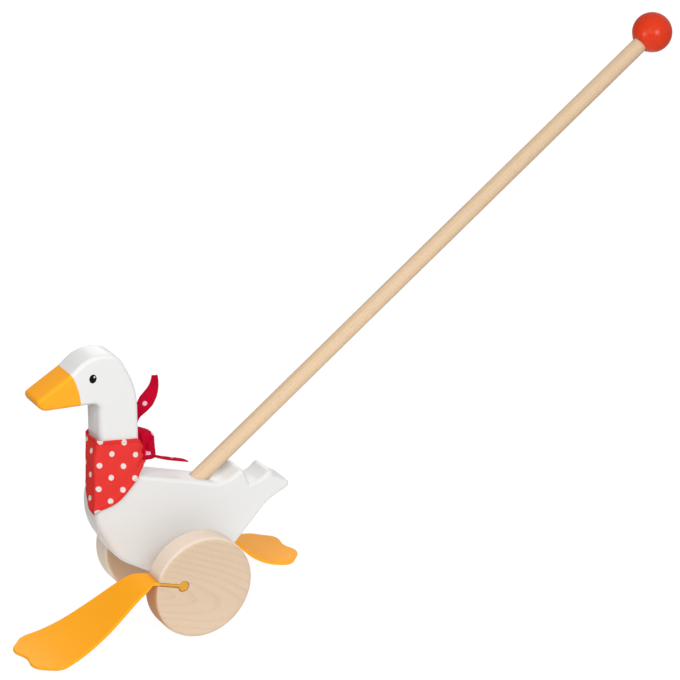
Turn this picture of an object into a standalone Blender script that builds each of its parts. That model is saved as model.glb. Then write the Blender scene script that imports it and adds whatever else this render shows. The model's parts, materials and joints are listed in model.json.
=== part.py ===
"""Push-along goose toy: a sawn board goose on two wheels with flipper feet, pushed by a dowel.

Metres, +Z up. The goose looks along +X and its left side is +Y. The floor is z = 0, and the
middle of the axle lies straight above the origin. Each object is one piece of the toy.
"""

import math

import bmesh
import bpy
import numpy as np
from mathutils import Vector

MM = 0.001

# Fits
SEAT_GAP = 0.3 * MM  # between pieces that are glued, or that lie against each other
RUNNING_GAP = 0.35 * MM  # round the axle in the board, and beside the spacers
CLOTH_GAP = 0.5 * MM  # between the board and the inside of the scarf

# Board
BOARD_THICKNESS = 24 * MM
BOARD_EDGE_RADIUS = 3 * MM
TIP_RADIUS = BOARD_EDGE_RADIUS + 0.2 * MM  # a tip no sharper than the edges' rounding

# Axle, spacers and wheels
AXLE_DIAMETER = 8 * MM
AXLE_END_CHAMFER = 0.6 * MM
SPACER_DIAMETER = 15 * MM
SPACER_LENGTH = 18.6 * MM
SPACER_EDGE = 0.8 * MM
WHEEL_RADIUS = 38.5 * MM
WHEEL_THICKNESS = 19 * MM
WHEEL_EDGE_RADIUS = 3.2 * MM
WHEEL_BORE_DEPTH = 12.5 * MM

# Stick and handle ball
STICK_DIAMETER = 12 * MM
STICK_LENGTH = 500 * MM
STICK_END_CHAMFER = 1 * MM
STICK_TILT = math.radians(35.5)  # above the horizontal, going back
SOCKET_MOUTH = (-24.3 * MM, 63.5 * MM)  # where the stick's middle line meets the back, from the axle
SOCKET_DEPTH = 30 * MM
BALL_DIAMETER = 30 * MM
BALL_BORE_DEPTH = 14 * MM
BALL_BORE_LIP = 0.8 * MM

# Flipper feet and their keyholes in the wheels
FOOT_THICKNESS = 2.3 * MM
BEAD_DIAMETER = 7.8 * MM
BEAD_OFFSET = 17.2 * MM  # from the axle to the bead
LEFT_SLOT_RISE = math.radians(18.5)  # how far each slot points above the horizontal
RIGHT_SLOT_RISE = math.radians(27)
FOOT_INSET = 0.2 * MM  # the bead and the tongue end this far inside the wheel's faces
FOOT_LENGTH = 106.5 * MM  # flat, from the flex line to the toe's notch
FOOT_WIDTH = 58.5 * MM  # at the ball of the foot
FOOT_BALL_BACK = 11 * MM  # from the notch back to the widest place
FOOT_SHOULDER = 28 * MM  # width just outside the wheel
FOOT_SHOULDER_AT = 9 * MM  # from the flex line
FOOT_FLARE = 44.5 * MM  # width half way along
FOOT_FLARE_AT = 49 * MM
FOOT_LOBE = 4.5 * MM  # how far the toe's lobes reach past the notch
FOOT_LOBE_RADIUS = 11 * MM
FOOT_NOTCH_RADIUS = 14 * MM
FOOT_ROOT_NOSE = 0.4  # the root's end tapers to this share of the thickness, to clear the tongue
FOOT_TOE_OUT = math.radians(2.2)  # the blank leans away from the board
FOOT_TOE_SLANT = math.radians(5.5)  # the inner lobe is the longer one
FOOT_SLICES = 24

# Scarf
SCARF_THICKNESS = 1.3 * MM
SCARF_TOP_FRONT = 113 * MM  # heights above the axle
SCARF_TOP_BACK = 109.5 * MM
SCARF_FOLD_DEPTH = 0.5 * MM
SCARF_FOLDS = 3  # gathers on each side, running into the knot
SCARF_ROWS = 6
KNOT_SIZE = (16.6 * MM, 15 * MM, 23 * MM)
KNOT_BELOW_TOP = 10.5 * MM  # from the scarf's upper edge down to the knot's middle
KNOT_SINK = 1.2 * MM  # how deep the knot sits in the wrap
KNOT_CREASE_DEPTH = 1.0 * MM  # between the two turns of cloth that cross the knot
KNOT_CREASE_WIDTH = 2.8 * MM
TAIL_BOW = 0.12  # the tails are bowed across by this share of their width

# Colours
WHITE_PAINT = (0.82, 0.82, 0.80)
RED_PAINT = (0.72, 0.06, 0.02)
BEECH = (0.76, 0.58, 0.42)
ORANGE_RUBBER = (0.93, 0.42, 0.03)
RED_CLOTH = (0.72, 0.03, 0.04)

# Places that follow from the sizes above
HALF_BOARD = BOARD_THICKNESS / 2
WHEEL_INNER_FACE = HALF_BOARD + RUNNING_GAP + SPACER_LENGTH + SEAT_GAP
WHEEL_MIDDLE = WHEEL_INNER_FACE + WHEEL_THICKNESS / 2
AXLE_CENTRE = Vector((0, 0, WHEEL_RADIUS))
STICK_LINE = Vector((-math.cos(STICK_TILT), 0, math.sin(STICK_TILT)))
FLEX_RADIUS = WHEEL_RADIUS + SEAT_GAP + FOOT_THICKNESS / 2  # from the axle to the flex line

# The goose's outline on the board: corners given as forward of the axle, above the axle and
# the radius that rounds the corner. From the beak's tip over the head, the back and the tail.
NECK_FRONT = 58.9 * MM
NECK_BACK = 29.8 * MM
HEAD_TOP = 177.9 * MM
BELLY_BOTTOM = -9.5 * MM
GOOSE_CORNERS = (
    (107.2 * MM, 153.4 * MM, TIP_RADIUS),  # beak tip
    (80.3 * MM, 168.0 * MM, 10 * MM),  # beak meets the forehead
    (67.9 * MM, HEAD_TOP, 26 * MM),  # forehead
    (44.6 * MM, HEAD_TOP, 17 * MM),  # back of the head
    (NECK_BACK, 147.5 * MM, 60 * MM),  # nape
    (NECK_BACK, 79.8 * MM, 7 * MM),  # neck meets the back
    (-37.5 * MM, 57.5 * MM, 22 * MM),  # hollow behind the stick
    (-52.8 * MM, 66.4 * MM, TIP_RADIUS),  # wing tip
    (-57.6 * MM, 52.6 * MM, 1.5 * MM),  # notch
    (-68.5 * MM, 53.6 * MM, 14 * MM),  # tail's upper side
    (-75.4 * MM, 62.0 * MM, TIP_RADIUS),  # upper tail tip
    (-78.6 * MM, 54.2 * MM, 3 * MM),  # step between the tips
    (-94.4 * MM, 44.9 * MM, TIP_RADIUS),  # lower tail tip
    (-72.5 * MM, 35.2 * MM, 30 * MM),  # under the tail
    (-29.0 * MM, BELLY_BOTTOM, 30 * MM),  # belly, behind
    (6.0 * MM, BELLY_BOTTOM, 25 * MM),  # belly, in front
    (47.5 * MM, 17.0 * MM, 40 * MM),  # lower breast
    (63.8 * MM, 47.5 * MM, 45 * MM),  # breast
    (64.6 * MM, 64.5 * MM, 45 * MM),  # upper breast
    (NECK_FRONT, 90.0 * MM, 40 * MM),  # throat
    (NECK_FRONT, 142.0 * MM, 6.5 * MM),  # chin
    (103.4 * MM, 145.4 * MM, 8 * MM),  # under the beak
)

# How each foot hangs: the toe's reach and drop from the flex line, how far the arch follows the
# slot, how far the toe's end runs straight, and the toe's own slope.
LEFT_DROOP = (99.5 * MM, -34.2 * MM, 17.5 * MM, 49.6 * MM, math.radians(1.5))
RIGHT_DROOP = (78.4 * MM, -54.8 * MM, 30 * MM, 64 * MM, 0)

# The scarf's hem above the axle: the side of the neck, how far along that side, and the height.
HEM_HEIGHTS = (
    ("back", 0.0, 93 * MM),
    ("back", 1.0, 88 * MM),
    ("left", 0.3, 75.6 * MM),
    ("left", 0.6, 66.2 * MM),
    ("left", 1.0, 62 * MM),
    ("front", 0.0, 57 * MM),
    ("front", 0.45, 65.5 * MM),
    ("front", 1.0, 79 * MM),
    ("right", 0.5, 87 * MM),
    ("right", 1.0, 90 * MM),
    ("back_right", 1.0, 93 * MM),
)

# The scarf's tails: four points of each one's curve, from the knot's middle, the widths along it
# and the direction its face is turned to.
UPPER_TAIL_CURVE = (
    (5 * MM, -5 * MM, 2 * MM),
    (7 * MM, -4 * MM, 29.5 * MM),
    (-13.6 * MM, -6.5 * MM, 25.5 * MM),
    (-13 * MM, -6 * MM, 47 * MM),
)
UPPER_TAIL_WIDTHS = (6.5 * MM, 5.5 * MM, 10.7 * MM, 7.6 * MM, 3.6 * MM)
UPPER_TAIL_FACING = (0.4, 0.9, 0.2)
LOWER_TAIL_CURVE = (
    (-2 * MM, 0.5 * MM, -9 * MM),
    (-10 * MM, 0 * MM, -14.5 * MM),
    (-21 * MM, -1 * MM, -17.5 * MM),
    (-33 * MM, -2 * MM, -22.5 * MM),
)
LOWER_TAIL_WIDTHS = (8 * MM, 9 * MM, 9.5 * MM, 10 * MM)
LOWER_TAIL_FACING = (-0.16, -0.28, 0.75)

ARC_STEP = math.radians(10)
TURNED_STEPS = 64
ROD_STEPS = 32


def clear_scene():
    for obj in list(bpy.data.objects):
        bpy.data.objects.remove(obj, do_unlink=True)


def paint(name, colour, roughness):
    material = bpy.data.materials.new(name)
    material.use_nodes = True
    shader = material.node_tree.nodes["Principled BSDF"]
    shader.inputs["Base Color"].default_value = (*colour, 1)
    shader.inputs["Roughness"].default_value = roughness
    shader.inputs["Metallic"].default_value = 0
    return material


def add_object(name, bm, material=None, location=(0, 0, 0), turn=(0, 0, 0), parent=None):
    bmesh.ops.recalc_face_normals(bm, faces=bm.faces)
    mesh = bpy.data.meshes.new(name)
    bm.to_mesh(mesh)
    bm.free()
    mesh.shade_smooth()
    mesh.set_sharp_from_angle(angle=math.radians(35))
    obj = bpy.data.objects.new(name, mesh)
    bpy.context.collection.objects.link(obj)
    obj.location = location
    obj.rotation_euler = turn
    obj.parent = parent
    if material:
        mesh.materials.append(material)
    return obj


def add_empty(name, location, turn=(0, 0, 0), parent=None):
    empty = bpy.data.objects.new(name, None)
    bpy.context.collection.objects.link(empty)
    empty.empty_display_size = 10 * MM
    empty.location = location
    empty.rotation_euler = turn
    empty.parent = parent
    return empty


def combine(obj, other, operation):
    """Cuts the helper out of the object, or joins it on, and takes the helper out of sight."""
    other.hide_render = True
    other.display_type = "WIRE"
    modifier = obj.modifiers.new(f"{operation.lower()} {other.name}", "BOOLEAN")
    modifier.operation = operation
    modifier.solver = "EXACT"
    modifier.object = other


def rounded_outline(corners, step=ARC_STEP):
    """Points of a closed outline whose corners are arcs, each point with its left-hand normal."""
    points, normals = [], []
    count = len(corners)
    for i in range(count):
        before, here, after = (Vector(corners[k % count][:2]) for k in (i - 1, i, i + 1))
        radius = corners[i][2]
        way_in = (here - before).normalized()
        way_out = (after - here).normalized()
        turn = way_in.angle_signed(way_out)
        side = -1 if turn > 0 else 1  # angle_signed counts clockwise as positive
        inset = radius * math.tan(abs(turn) / 2)
        left_in = Vector((-way_in.y, way_in.x))
        centre = here - way_in * inset + left_in * side * radius
        steps = max(2, math.ceil(abs(turn) / step))
        for k in range(steps + 1):
            angle = side * abs(turn) * k / steps
            left = Vector((
                left_in.x * math.cos(angle) - left_in.y * math.sin(angle),
                left_in.x * math.sin(angle) + left_in.y * math.cos(angle),
            ))
            points.append(centre - left * side * radius)
            normals.append(left)
    return points, normals


def rounded_board(bm, corners, half_thickness, edge_radius, steps=4):
    """A board in the XZ plane with this outline, and with its edges rounded on both faces."""
    points, inward = rounded_outline(corners)
    quarter = [math.pi / 2 * k / steps for k in range(steps + 1)]
    rings = []
    for side in (-1, 1):
        for angle in quarter[::side]:
            inset = edge_radius * (1 - math.cos(angle))
            across = side * (half_thickness - edge_radius * (1 - math.sin(angle)))
            flat = [p + n * inset for p, n in zip(points, inward)]
            rings.append([bm.verts.new((p.x, across, p.y)) for p in flat])
    for low, high in zip(rings, rings[1:]):
        for i in range(len(points)):
            j = (i + 1) % len(points)
            bm.faces.new((low[i], low[j], high[j], high[i]))
    bm.faces.new(rings[0])
    bm.faces.new(rings[-1])


def turned(profile, steps=TURNED_STEPS):
    """A solid turned about Y from a profile of (radius, along) points."""
    bm = bmesh.new()
    verts = [bm.verts.new((radius, along, 0)) for radius, along in profile]
    edges = [bm.edges.new(pair) for pair in zip(verts, verts[1:])]
    bmesh.ops.spin(
        bm,
        geom=verts + edges,
        axis=(0, 1, 0),
        cent=(0, 0, 0),
        angle=2 * math.pi,
        steps=steps,
        use_merge=True,
    )
    bmesh.ops.remove_doubles(bm, verts=bm.verts, dist=0.001 * MM)
    bmesh.ops.dissolve_degenerate(bm, edges=bm.edges, dist=0.001 * MM)
    return bm


def arc(centre, radius, start, end, steps):
    """Points of an arc in a turned profile, angles in degrees from the radial direction."""
    angles = [math.radians(start + (end - start) * k / steps) for k in range(steps + 1)]
    return [(centre[0] + radius * math.cos(a), centre[1] + radius * math.sin(a)) for a in angles]


def rod(radius, length, chamfer, steps=ROD_STEPS):
    """A round bar along +Y from the origin, with chamfered ends."""
    return turned(
        [
            (0, 0),
            (radius - chamfer, 0),
            (radius, chamfer),
            (radius, length - chamfer),
            (radius - chamfer, length),
            (0, length),
        ],
        steps,
    )


def extruded(outline, half_width):
    """A closed XZ outline, drawn out across Y to both sides."""
    bm = bmesh.new()
    face = bm.faces.new([bm.verts.new((x, -half_width, z)) for x, z in outline])
    moved = bmesh.ops.extrude_face_region(bm, geom=[face])["geom"]
    bmesh.ops.translate(
        bm,
        vec=(0, 2 * half_width, 0),
        verts=[v for v in moved if isinstance(v, bmesh.types.BMVert)],
    )
    return bm


def make_goose_body(material, axle_line):
    bm = bmesh.new()
    rounded_board(bm, GOOSE_CORNERS, HALF_BOARD, BOARD_EDGE_RADIUS)
    body = add_object("goose_body", bm, material, parent=axle_line)
    reach = BOARD_THICKNESS
    bore = rod(AXLE_DIAMETER / 2 + RUNNING_GAP, 2 * reach, 0)
    cutter = add_object("axle_bore_cutter", bore, None, (0, -reach, 0), parent=axle_line)
    combine(body, cutter, "DIFFERENCE")
    mouth = Vector((SOCKET_MOUTH[0], 0, SOCKET_MOUTH[1]))
    socket = rod(STICK_DIAMETER / 2 + SEAT_GAP, SOCKET_DEPTH + BOARD_THICKNESS, 0)
    floor = mouth - STICK_LINE * SOCKET_DEPTH
    cutter = add_object("socket_cutter", socket, None, floor, stick_turn(), axle_line)
    combine(body, cutter, "DIFFERENCE")
    return body


def stick_turn():
    """The rotation that lays a rod's +Y along the stick."""
    return STICK_LINE.to_track_quat("Y", "Z").to_euler()


def stick_foot():
    """Where the stick's lower end stands, on the floor of its socket, from the axle."""
    mouth = Vector((SOCKET_MOUTH[0], 0, SOCKET_MOUTH[1]))
    return mouth - STICK_LINE * (SOCKET_DEPTH - SEAT_GAP)


def make_push_stick(material, axle_line):
    bm = rod(STICK_DIAMETER / 2, STICK_LENGTH, STICK_END_CHAMFER)
    return add_object("push_stick", bm, material, stick_foot(), stick_turn(), axle_line)


def make_handle_ball(material, axle_line):
    """Turned ball with a blind bore that takes the stick's upper end."""
    radius = BALL_DIAMETER / 2
    bore = STICK_DIAMETER / 2 + SEAT_GAP
    mouth = bore + BALL_BORE_LIP
    mouth_angle = math.degrees(math.acos(mouth / radius))
    mouth_along = -math.sqrt(radius**2 - mouth**2)
    bore_floor = mouth_along + BALL_BORE_DEPTH
    profile = [
        (0, bore_floor),
        (bore, bore_floor),
        (bore, mouth_along + BALL_BORE_LIP),
        *arc((0, 0), radius, -mouth_angle, 84, 20),
        (0, radius),
    ]
    middle = stick_foot() + STICK_LINE * (STICK_LENGTH + SEAT_GAP - bore_floor)
    return add_object("handle_ball", turned(profile, 40), material, middle, stick_turn(), axle_line)


def make_axle(material, axle_line):
    half = WHEEL_INNER_FACE + WHEEL_BORE_DEPTH - SEAT_GAP
    bm = rod(AXLE_DIAMETER / 2, 2 * half, AXLE_END_CHAMFER)
    return add_object("axle", bm, material, (0, -half, 0), parent=axle_line)


def make_spacer(name, material, side_line):
    inner = AXLE_DIAMETER / 2 + SEAT_GAP
    outer = SPACER_DIAMETER / 2
    start = HALF_BOARD + RUNNING_GAP
    end = start + SPACER_LENGTH
    profile = [
        (inner, start),
        (inner, end),
        (outer - SPACER_EDGE, end),
        (outer, end - SPACER_EDGE),
        (outer, start + SPACER_EDGE),
        (outer - SPACER_EDGE, start),
        (inner, start),
    ]
    return add_object(name, turned(profile, ROD_STEPS), material, parent=side_line)


def keyhole(grow, end):
    """Outline of the foot's bead and tongue along +X, grown all round for the wheel's keyhole."""
    radius = BEAD_DIAMETER / 2 + grow
    half = FOOT_THICKNESS / 2 + grow
    opening = math.asin(half / radius)
    steps = 24
    angles = [opening + (2 * math.pi - 2 * opening) * k / steps for k in range(steps + 1)]
    outline = [(BEAD_OFFSET + radius * math.cos(a), radius * math.sin(a)) for a in angles]
    return [*outline, (end, -half), (end, half)]


def make_wheel(name, material, side_line, slot_rise):
    """Turned disc with a blind bore for the axle and a keyhole slot for the foot."""
    inner = WHEEL_INNER_FACE
    outer = inner + WHEEL_THICKNESS
    edge = WHEEL_EDGE_RADIUS
    bore = AXLE_DIAMETER / 2 + SEAT_GAP
    rim = WHEEL_RADIUS - edge
    profile = [
        (0, inner + WHEEL_BORE_DEPTH),
        (bore, inner + WHEEL_BORE_DEPTH),
        (bore, inner),
        *arc((rim, inner + edge), edge, -90, 0, 5),
        *arc((rim, outer - edge), edge, 0, 90, 5),
        (0, outer),
    ]
    turn = (0, -slot_rise, 0)
    wheel = add_object(name, turned(profile), material, turn=turn, parent=side_line)
    slot = extruded(keyhole(SEAT_GAP, WHEEL_RADIUS + WHEEL_EDGE_RADIUS), WHEEL_THICKNESS)
    cutter = add_object(f"{name}_slot_cutter", slot, None, (0, WHEEL_MIDDLE, 0), parent=wheel)
    combine(wheel, cutter, "DIFFERENCE")
    return wheel


def make_foot_root(name, material, side_line, slot_rise):
    """Bead and tongue, which fill the keyhole up to the wheel's rim."""
    bm = extruded(keyhole(0, WHEEL_RADIUS), WHEEL_THICKNESS / 2 - FOOT_INSET)
    place = (0, WHEEL_MIDDLE, 0)
    return add_object(name, bm, material, place, (0, -slot_rise, 0), side_line)


def foot_blank():
    """Corners of the flat foot: along it from the flex line, across it, and the rounding."""
    root = WHEEL_THICKNESS / 2 - FOOT_INSET
    half = FOOT_WIDTH / 2
    one_side = [
        (-FOOT_THICKNESS / 2, root, SEAT_GAP),
        (FOOT_THICKNESS, root, FOOT_THICKNESS),
        (FOOT_SHOULDER_AT, FOOT_SHOULDER / 2, FOOT_SHOULDER / 2),
        (FOOT_FLARE_AT, FOOT_FLARE / 2, FOOT_LENGTH),
        (FOOT_LENGTH - FOOT_BALL_BACK, half, FOOT_LOBE_RADIUS),
        (FOOT_LENGTH + FOOT_LOBE, half / 2, FOOT_LOBE_RADIUS),
    ]
    other_side = [(along, -across, radius) for along, across, radius in one_side]
    return [*other_side, (FOOT_LENGTH, 0, FOOT_NOTCH_RADIUS), *one_side[::-1]]


def droop_curve(droop, slot_rise, samples=240):
    """The foot's hanging line from the flex line: points, and the length along it to each."""
    reach, drop, arch, toe_run, toe_slope = droop
    start = np.zeros(2)
    leave = arch * np.array([math.cos(slot_rise), math.sin(slot_rise)])
    end = np.array([reach, drop])
    arrive = end - toe_run * np.array([math.cos(toe_slope), math.sin(toe_slope)])
    t = np.linspace(0, 1, samples)[:, None]
    u = 1 - t
    points = u**3 * start + 3 * u**2 * t * leave + 3 * u * t**2 * arrive + t**3 * end
    lengths = np.concatenate([[0], np.cumsum(np.hypot(*np.diff(points, axis=0).T))])
    return points, lengths


def bend_foot(along, across, up, curve):
    """Lays a point of the flat foot on its hanging line, which runs on straight past both ends."""
    points, lengths = curve
    share = max(0, along) / FOOT_LENGTH
    along -= across * math.tan(FOOT_TOE_SLANT) * share
    i = int(np.clip(np.searchsorted(lengths, along), 1, len(lengths) - 1))
    way = (points[i] - points[i - 1]) / (lengths[i] - lengths[i - 1])
    place = points[i - 1] + way * (along - lengths[i - 1])
    toe_out = math.tan(FOOT_TOE_OUT) * share * FOOT_LENGTH
    return (place[0] - way[1] * up, across + toe_out, place[1] + way[0] * up)


def make_foot(name, material, hinge, slot_rise, droop):
    """Flipper: a flat blank, scored across in slices and bent along the line it hangs on."""
    half = FOOT_THICKNESS / 2
    points, _ = rounded_outline(foot_blank())
    bm = bmesh.new()
    face = bm.faces.new([bm.verts.new((p.x, p.y, -half)) for p in points])
    moved = bmesh.ops.extrude_face_region(bm, geom=[face])["geom"]
    upper = [v for v in moved if isinstance(v, bmesh.types.BMVert)]
    bmesh.ops.translate(bm, vec=(0, 0, FOOT_THICKNESS), verts=upper)
    for k in range(FOOT_SLICES):
        cut = FOOT_LENGTH * k / FOOT_SLICES
        geom = [*bm.verts, *bm.edges, *bm.faces]
        bmesh.ops.bisect_plane(bm, geom=geom, dist=0.001 * MM, plane_co=(cut, 0, 0), plane_no=(1, 0, 0))
    curve = droop_curve(droop, slot_rise)
    for vert in bm.verts:
        along, across, up = vert.co
        taper = 1 + (1 - FOOT_ROOT_NOSE) * min(0, along) / half
        vert.co = bend_foot(along, across, up * taper, curve)
    bmesh.ops.triangulate(bm, faces=bm.faces)
    return add_object(name, bm, material, parent=hinge)


def board_front(outline, height):
    """How far forward the neck or the breast reaches at this height above the axle."""
    crossings = []
    for a, b in zip(outline, outline[1:] + outline[:1]):
        if (a.y - height) * (b.y - height) < 0:
            crossings.append(a.x + (b.x - a.x) * (height - a.y) / (b.y - a.y))
    return max(crossings)


def neck_stations():
    """Columns of the scarf round the neck, from the knot over the left side and the front.

    Each is (side, how far along that side, along the neck 0 to 1, across -1 to 1, facing angle).
    """
    stations = []

    def run(side, count, along, across, facing):
        for k in range(count):
            f = k / count
            mix = [pair[0] + (pair[1] - pair[0]) * f for pair in (along, across, facing)]
            stations.append((side, f, *mix))

    run("back", 3, (0, 0), (0, 1), (180, 180))
    run("back_left_edge", 3, (0, 0), (1, 1), (180, 90))
    run("left", 9, (0, 1), (1, 1), (90, 90))
    run("front_left_edge", 3, (1, 1), (1, 1), (90, 0))
    run("front", 6, (1, 1), (1, -1), (0, 0))
    run("front_right_edge", 3, (1, 1), (-1, -1), (0, -90))
    run("right", 9, (1, 0), (-1, -1), (-90, -90))
    run("back_right_edge", 3, (0, 0), (-1, -1), (-90, -180))
    run("back_right", 3, (0, 0), (-1, 0), (-180, -180))
    return stations


def hem_height(column, stations):
    """Height of the scarf's lower edge at a column, eased between the given places."""
    names = [s[0] for s in stations]
    knots = []
    for side, f, height in HEM_HEIGHTS:
        knots.append((names.index(side) + f * names.count(side), height))
    places, heights = zip(*knots)
    k = int(np.clip(np.searchsorted(places, column, side="right"), 1, len(places) - 1))
    f = (column - places[k - 1]) / (places[k] - places[k - 1])
    return heights[k - 1] + (heights[k] - heights[k - 1]) * f


def scarf_wrap():
    """The cloth round the neck and over the breast, as a closed band of even thickness."""
    stations = neck_stations()
    outline, _ = rounded_outline(GOOSE_CORNERS)
    rows = SCARF_ROWS
    bm = bmesh.new()
    rings = []
    inner_radius = BOARD_EDGE_RADIUS + CLOTH_GAP
    for outside in (False, True):
        layer = []
        for row in range(rows + 1):
            ring = []
            for column, (_, _, along, across, facing) in enumerate(stations):
                top = SCARF_TOP_BACK + (SCARF_TOP_FRONT - SCARF_TOP_BACK) * along
                hem = hem_height(column, stations)
                height = hem + (top - hem) * row / rows
                x0 = NECK_BACK + BOARD_EDGE_RADIUS
                x1 = board_front(outline, height) - BOARD_EDGE_RADIUS
                angle = math.radians(facing)
                fold = (1 - along) * abs(across) * math.sin(math.pi * SCARF_FOLDS * row / rows) ** 2
                off = inner_radius + (SCARF_THICKNESS + SCARF_FOLD_DEPTH * fold if outside else 0)
                x = x0 + (x1 - x0) * along + off * math.cos(angle)
                y = across * (HALF_BOARD - BOARD_EDGE_RADIUS) + off * math.sin(angle)
                ring.append(bm.verts.new((x, y, height)))
            layer.append(ring)
        rings.append(layer)
    inner, outer = rings
    count = len(stations)
    for i in range(count):
        j = (i + 1) % count
        for row in range(rows):
            for layer in (inner, outer):
                bm.faces.new((layer[row][i], layer[row][j], layer[row + 1][j], layer[row + 1][i]))
        for row in (0, rows):
            bm.faces.new((inner[row][i], inner[row][j], outer[row][j], outer[row][i]))
    return bm


def ribbon(start, curve, widths, facing, steps=10, across=4):
    """A tail of the scarf: a strip bowed across, along a cubic curve given from its start."""
    p0, p1, p2, p3 = (start + Vector(p) for p in curve)
    bm = bmesh.new()
    loops = []
    for k in range(steps + 1):
        t = k / steps
        u = 1 - t
        middle = u**3 * p0 + 3 * u * u * t * p1 + 3 * u * t * t * p2 + t**3 * p3
        way = 3 * u * u * (p1 - p0) + 6 * u * t * (p2 - p1) + 3 * t * t * (p3 - p2)
        side = Vector(facing).cross(way).normalized()
        out = way.cross(side).normalized()
        width = np.interp(t, np.linspace(0, 1, len(widths)), widths)
        loop = []
        for face in (1, -1):
            for m in range(across + 1):
                s = (m / across * 2 - 1) * face
                lift = TAIL_BOW * width * (1 - s * s) + face * SCARF_THICKNESS / 2
                loop.append(bm.verts.new(middle + side * (s * width / 2) + out * lift))
        loops.append(loop)
    for a, b in zip(loops, loops[1:]):
        for i in range(len(a)):
            j = (i + 1) % len(a)
            bm.faces.new((a[i], a[j], b[j], b[i]))
    bm.faces.new(loops[0])
    bm.faces.new(loops[-1])
    return bm


def make_scarf(material, axle_line):
    """Neckerchief: wrap, knot behind the neck and two tails, joined as one cloth."""
    scarf = add_object("scarf", scarf_wrap(), material, parent=axle_line)
    back = NECK_BACK - CLOTH_GAP - SCARF_THICKNESS
    middle = Vector((back + KNOT_SINK - KNOT_SIZE[0] / 2, 0, SCARF_TOP_BACK - KNOT_BELOW_TOP))
    knot = bmesh.new()
    bmesh.ops.create_uvsphere(knot, u_segments=16, v_segments=10, radius=0.5)
    bmesh.ops.scale(knot, vec=KNOT_SIZE, verts=knot.verts)
    for vert in knot.verts:
        crease = math.exp(-((vert.co.z / KNOT_CREASE_WIDTH) ** 2))
        draw_in = 1 - crease * KNOT_CREASE_DEPTH / (KNOT_SIZE[1] / 2)
        vert.co.x *= draw_in
        vert.co.y *= draw_in
    upper = ribbon(middle, UPPER_TAIL_CURVE, UPPER_TAIL_WIDTHS, UPPER_TAIL_FACING)
    lower = ribbon(middle, LOWER_TAIL_CURVE, LOWER_TAIL_WIDTHS, LOWER_TAIL_FACING)
    combine(scarf, add_object("scarf_knot_shape", knot, None, middle, parent=axle_line), "UNION")
    combine(scarf, add_object("scarf_upper_tail_shape", upper, parent=axle_line), "UNION")
    combine(scarf, add_object("scarf_lower_tail_shape", lower, parent=axle_line), "UNION")
    return scarf


def main():
    clear_scene()
    beech = paint("beech", BEECH, 0.55)
    white = paint("white paint", WHITE_PAINT, 0.45)
    red = paint("red paint", RED_PAINT, 0.25)
    rubber = paint("orange rubber", ORANGE_RUBBER, 0.5)
    cloth = paint("red cloth", RED_CLOTH, 0.85)

    axle_line = add_empty("axle_line", AXLE_CENTRE)
    make_goose_body(white, axle_line)
    make_push_stick(beech, axle_line)
    make_handle_ball(red, axle_line)
    make_scarf(cloth, axle_line)
    make_axle(beech, axle_line)
    # The right-hand side is made like the left-hand one, turned half round about the upright.
    sides = (("left", 0, LEFT_SLOT_RISE, LEFT_DROOP), ("right", math.pi, RIGHT_SLOT_RISE, RIGHT_DROOP))
    for side, turn, rise, droop in sides:
        side_line = add_empty(f"{side}_side", (0, 0, 0), (0, 0, turn), axle_line)
        make_spacer(f"{side}_spacer", beech, side_line)
        make_wheel(f"{side}_wheel", beech, side_line, rise)
        make_foot_root(f"{side}_foot_root", rubber, side_line, rise)
        flex = (FLEX_RADIUS * math.cos(rise), WHEEL_MIDDLE, FLEX_RADIUS * math.sin(rise))
        hinge = add_empty(f"{side}_foot_hinge", flex, parent=side_line)
        make_foot(f"{side}_foot", rubber, hinge, rise, droop)


main()
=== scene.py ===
"""Looks of the push-along goose toy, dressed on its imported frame.

Metres, +Z up. The goose looks along +X and its left side is +Y. The floor is z = 0, and the
middle of the axle lies straight above the origin. Pieces of the right-hand side are made like
the left-hand ones and turned half round about the upright through the axle.
"""

import json
import math

import bmesh
import bpy
import numpy as np
from mathutils import Matrix, Vector


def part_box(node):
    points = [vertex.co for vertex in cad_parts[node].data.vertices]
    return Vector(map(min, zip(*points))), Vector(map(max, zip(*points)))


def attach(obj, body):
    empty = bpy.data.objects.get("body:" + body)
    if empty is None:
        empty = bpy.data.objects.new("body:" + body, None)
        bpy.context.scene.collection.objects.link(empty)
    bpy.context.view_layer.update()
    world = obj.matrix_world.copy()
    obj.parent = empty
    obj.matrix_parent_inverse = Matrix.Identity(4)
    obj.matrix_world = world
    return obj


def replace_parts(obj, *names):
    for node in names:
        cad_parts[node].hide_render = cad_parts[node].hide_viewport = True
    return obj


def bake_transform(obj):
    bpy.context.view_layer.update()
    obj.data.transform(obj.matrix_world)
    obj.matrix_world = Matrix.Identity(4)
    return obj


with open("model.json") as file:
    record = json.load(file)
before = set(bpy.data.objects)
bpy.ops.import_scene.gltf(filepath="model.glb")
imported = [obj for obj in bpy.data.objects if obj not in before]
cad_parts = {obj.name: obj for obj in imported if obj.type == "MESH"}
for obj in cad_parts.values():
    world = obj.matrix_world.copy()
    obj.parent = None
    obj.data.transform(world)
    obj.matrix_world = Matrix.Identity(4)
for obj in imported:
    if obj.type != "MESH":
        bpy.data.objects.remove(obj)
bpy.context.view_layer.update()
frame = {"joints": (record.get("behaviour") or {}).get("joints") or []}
MM = 0.001


def mm(*sizes):
    return tuple(size * MM for size in sizes)


def joint_place(name):
    """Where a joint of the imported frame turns."""
    return Vector(next(joint["pos_m"] for joint in frame["joints"] if joint["name"] == name))


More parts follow.
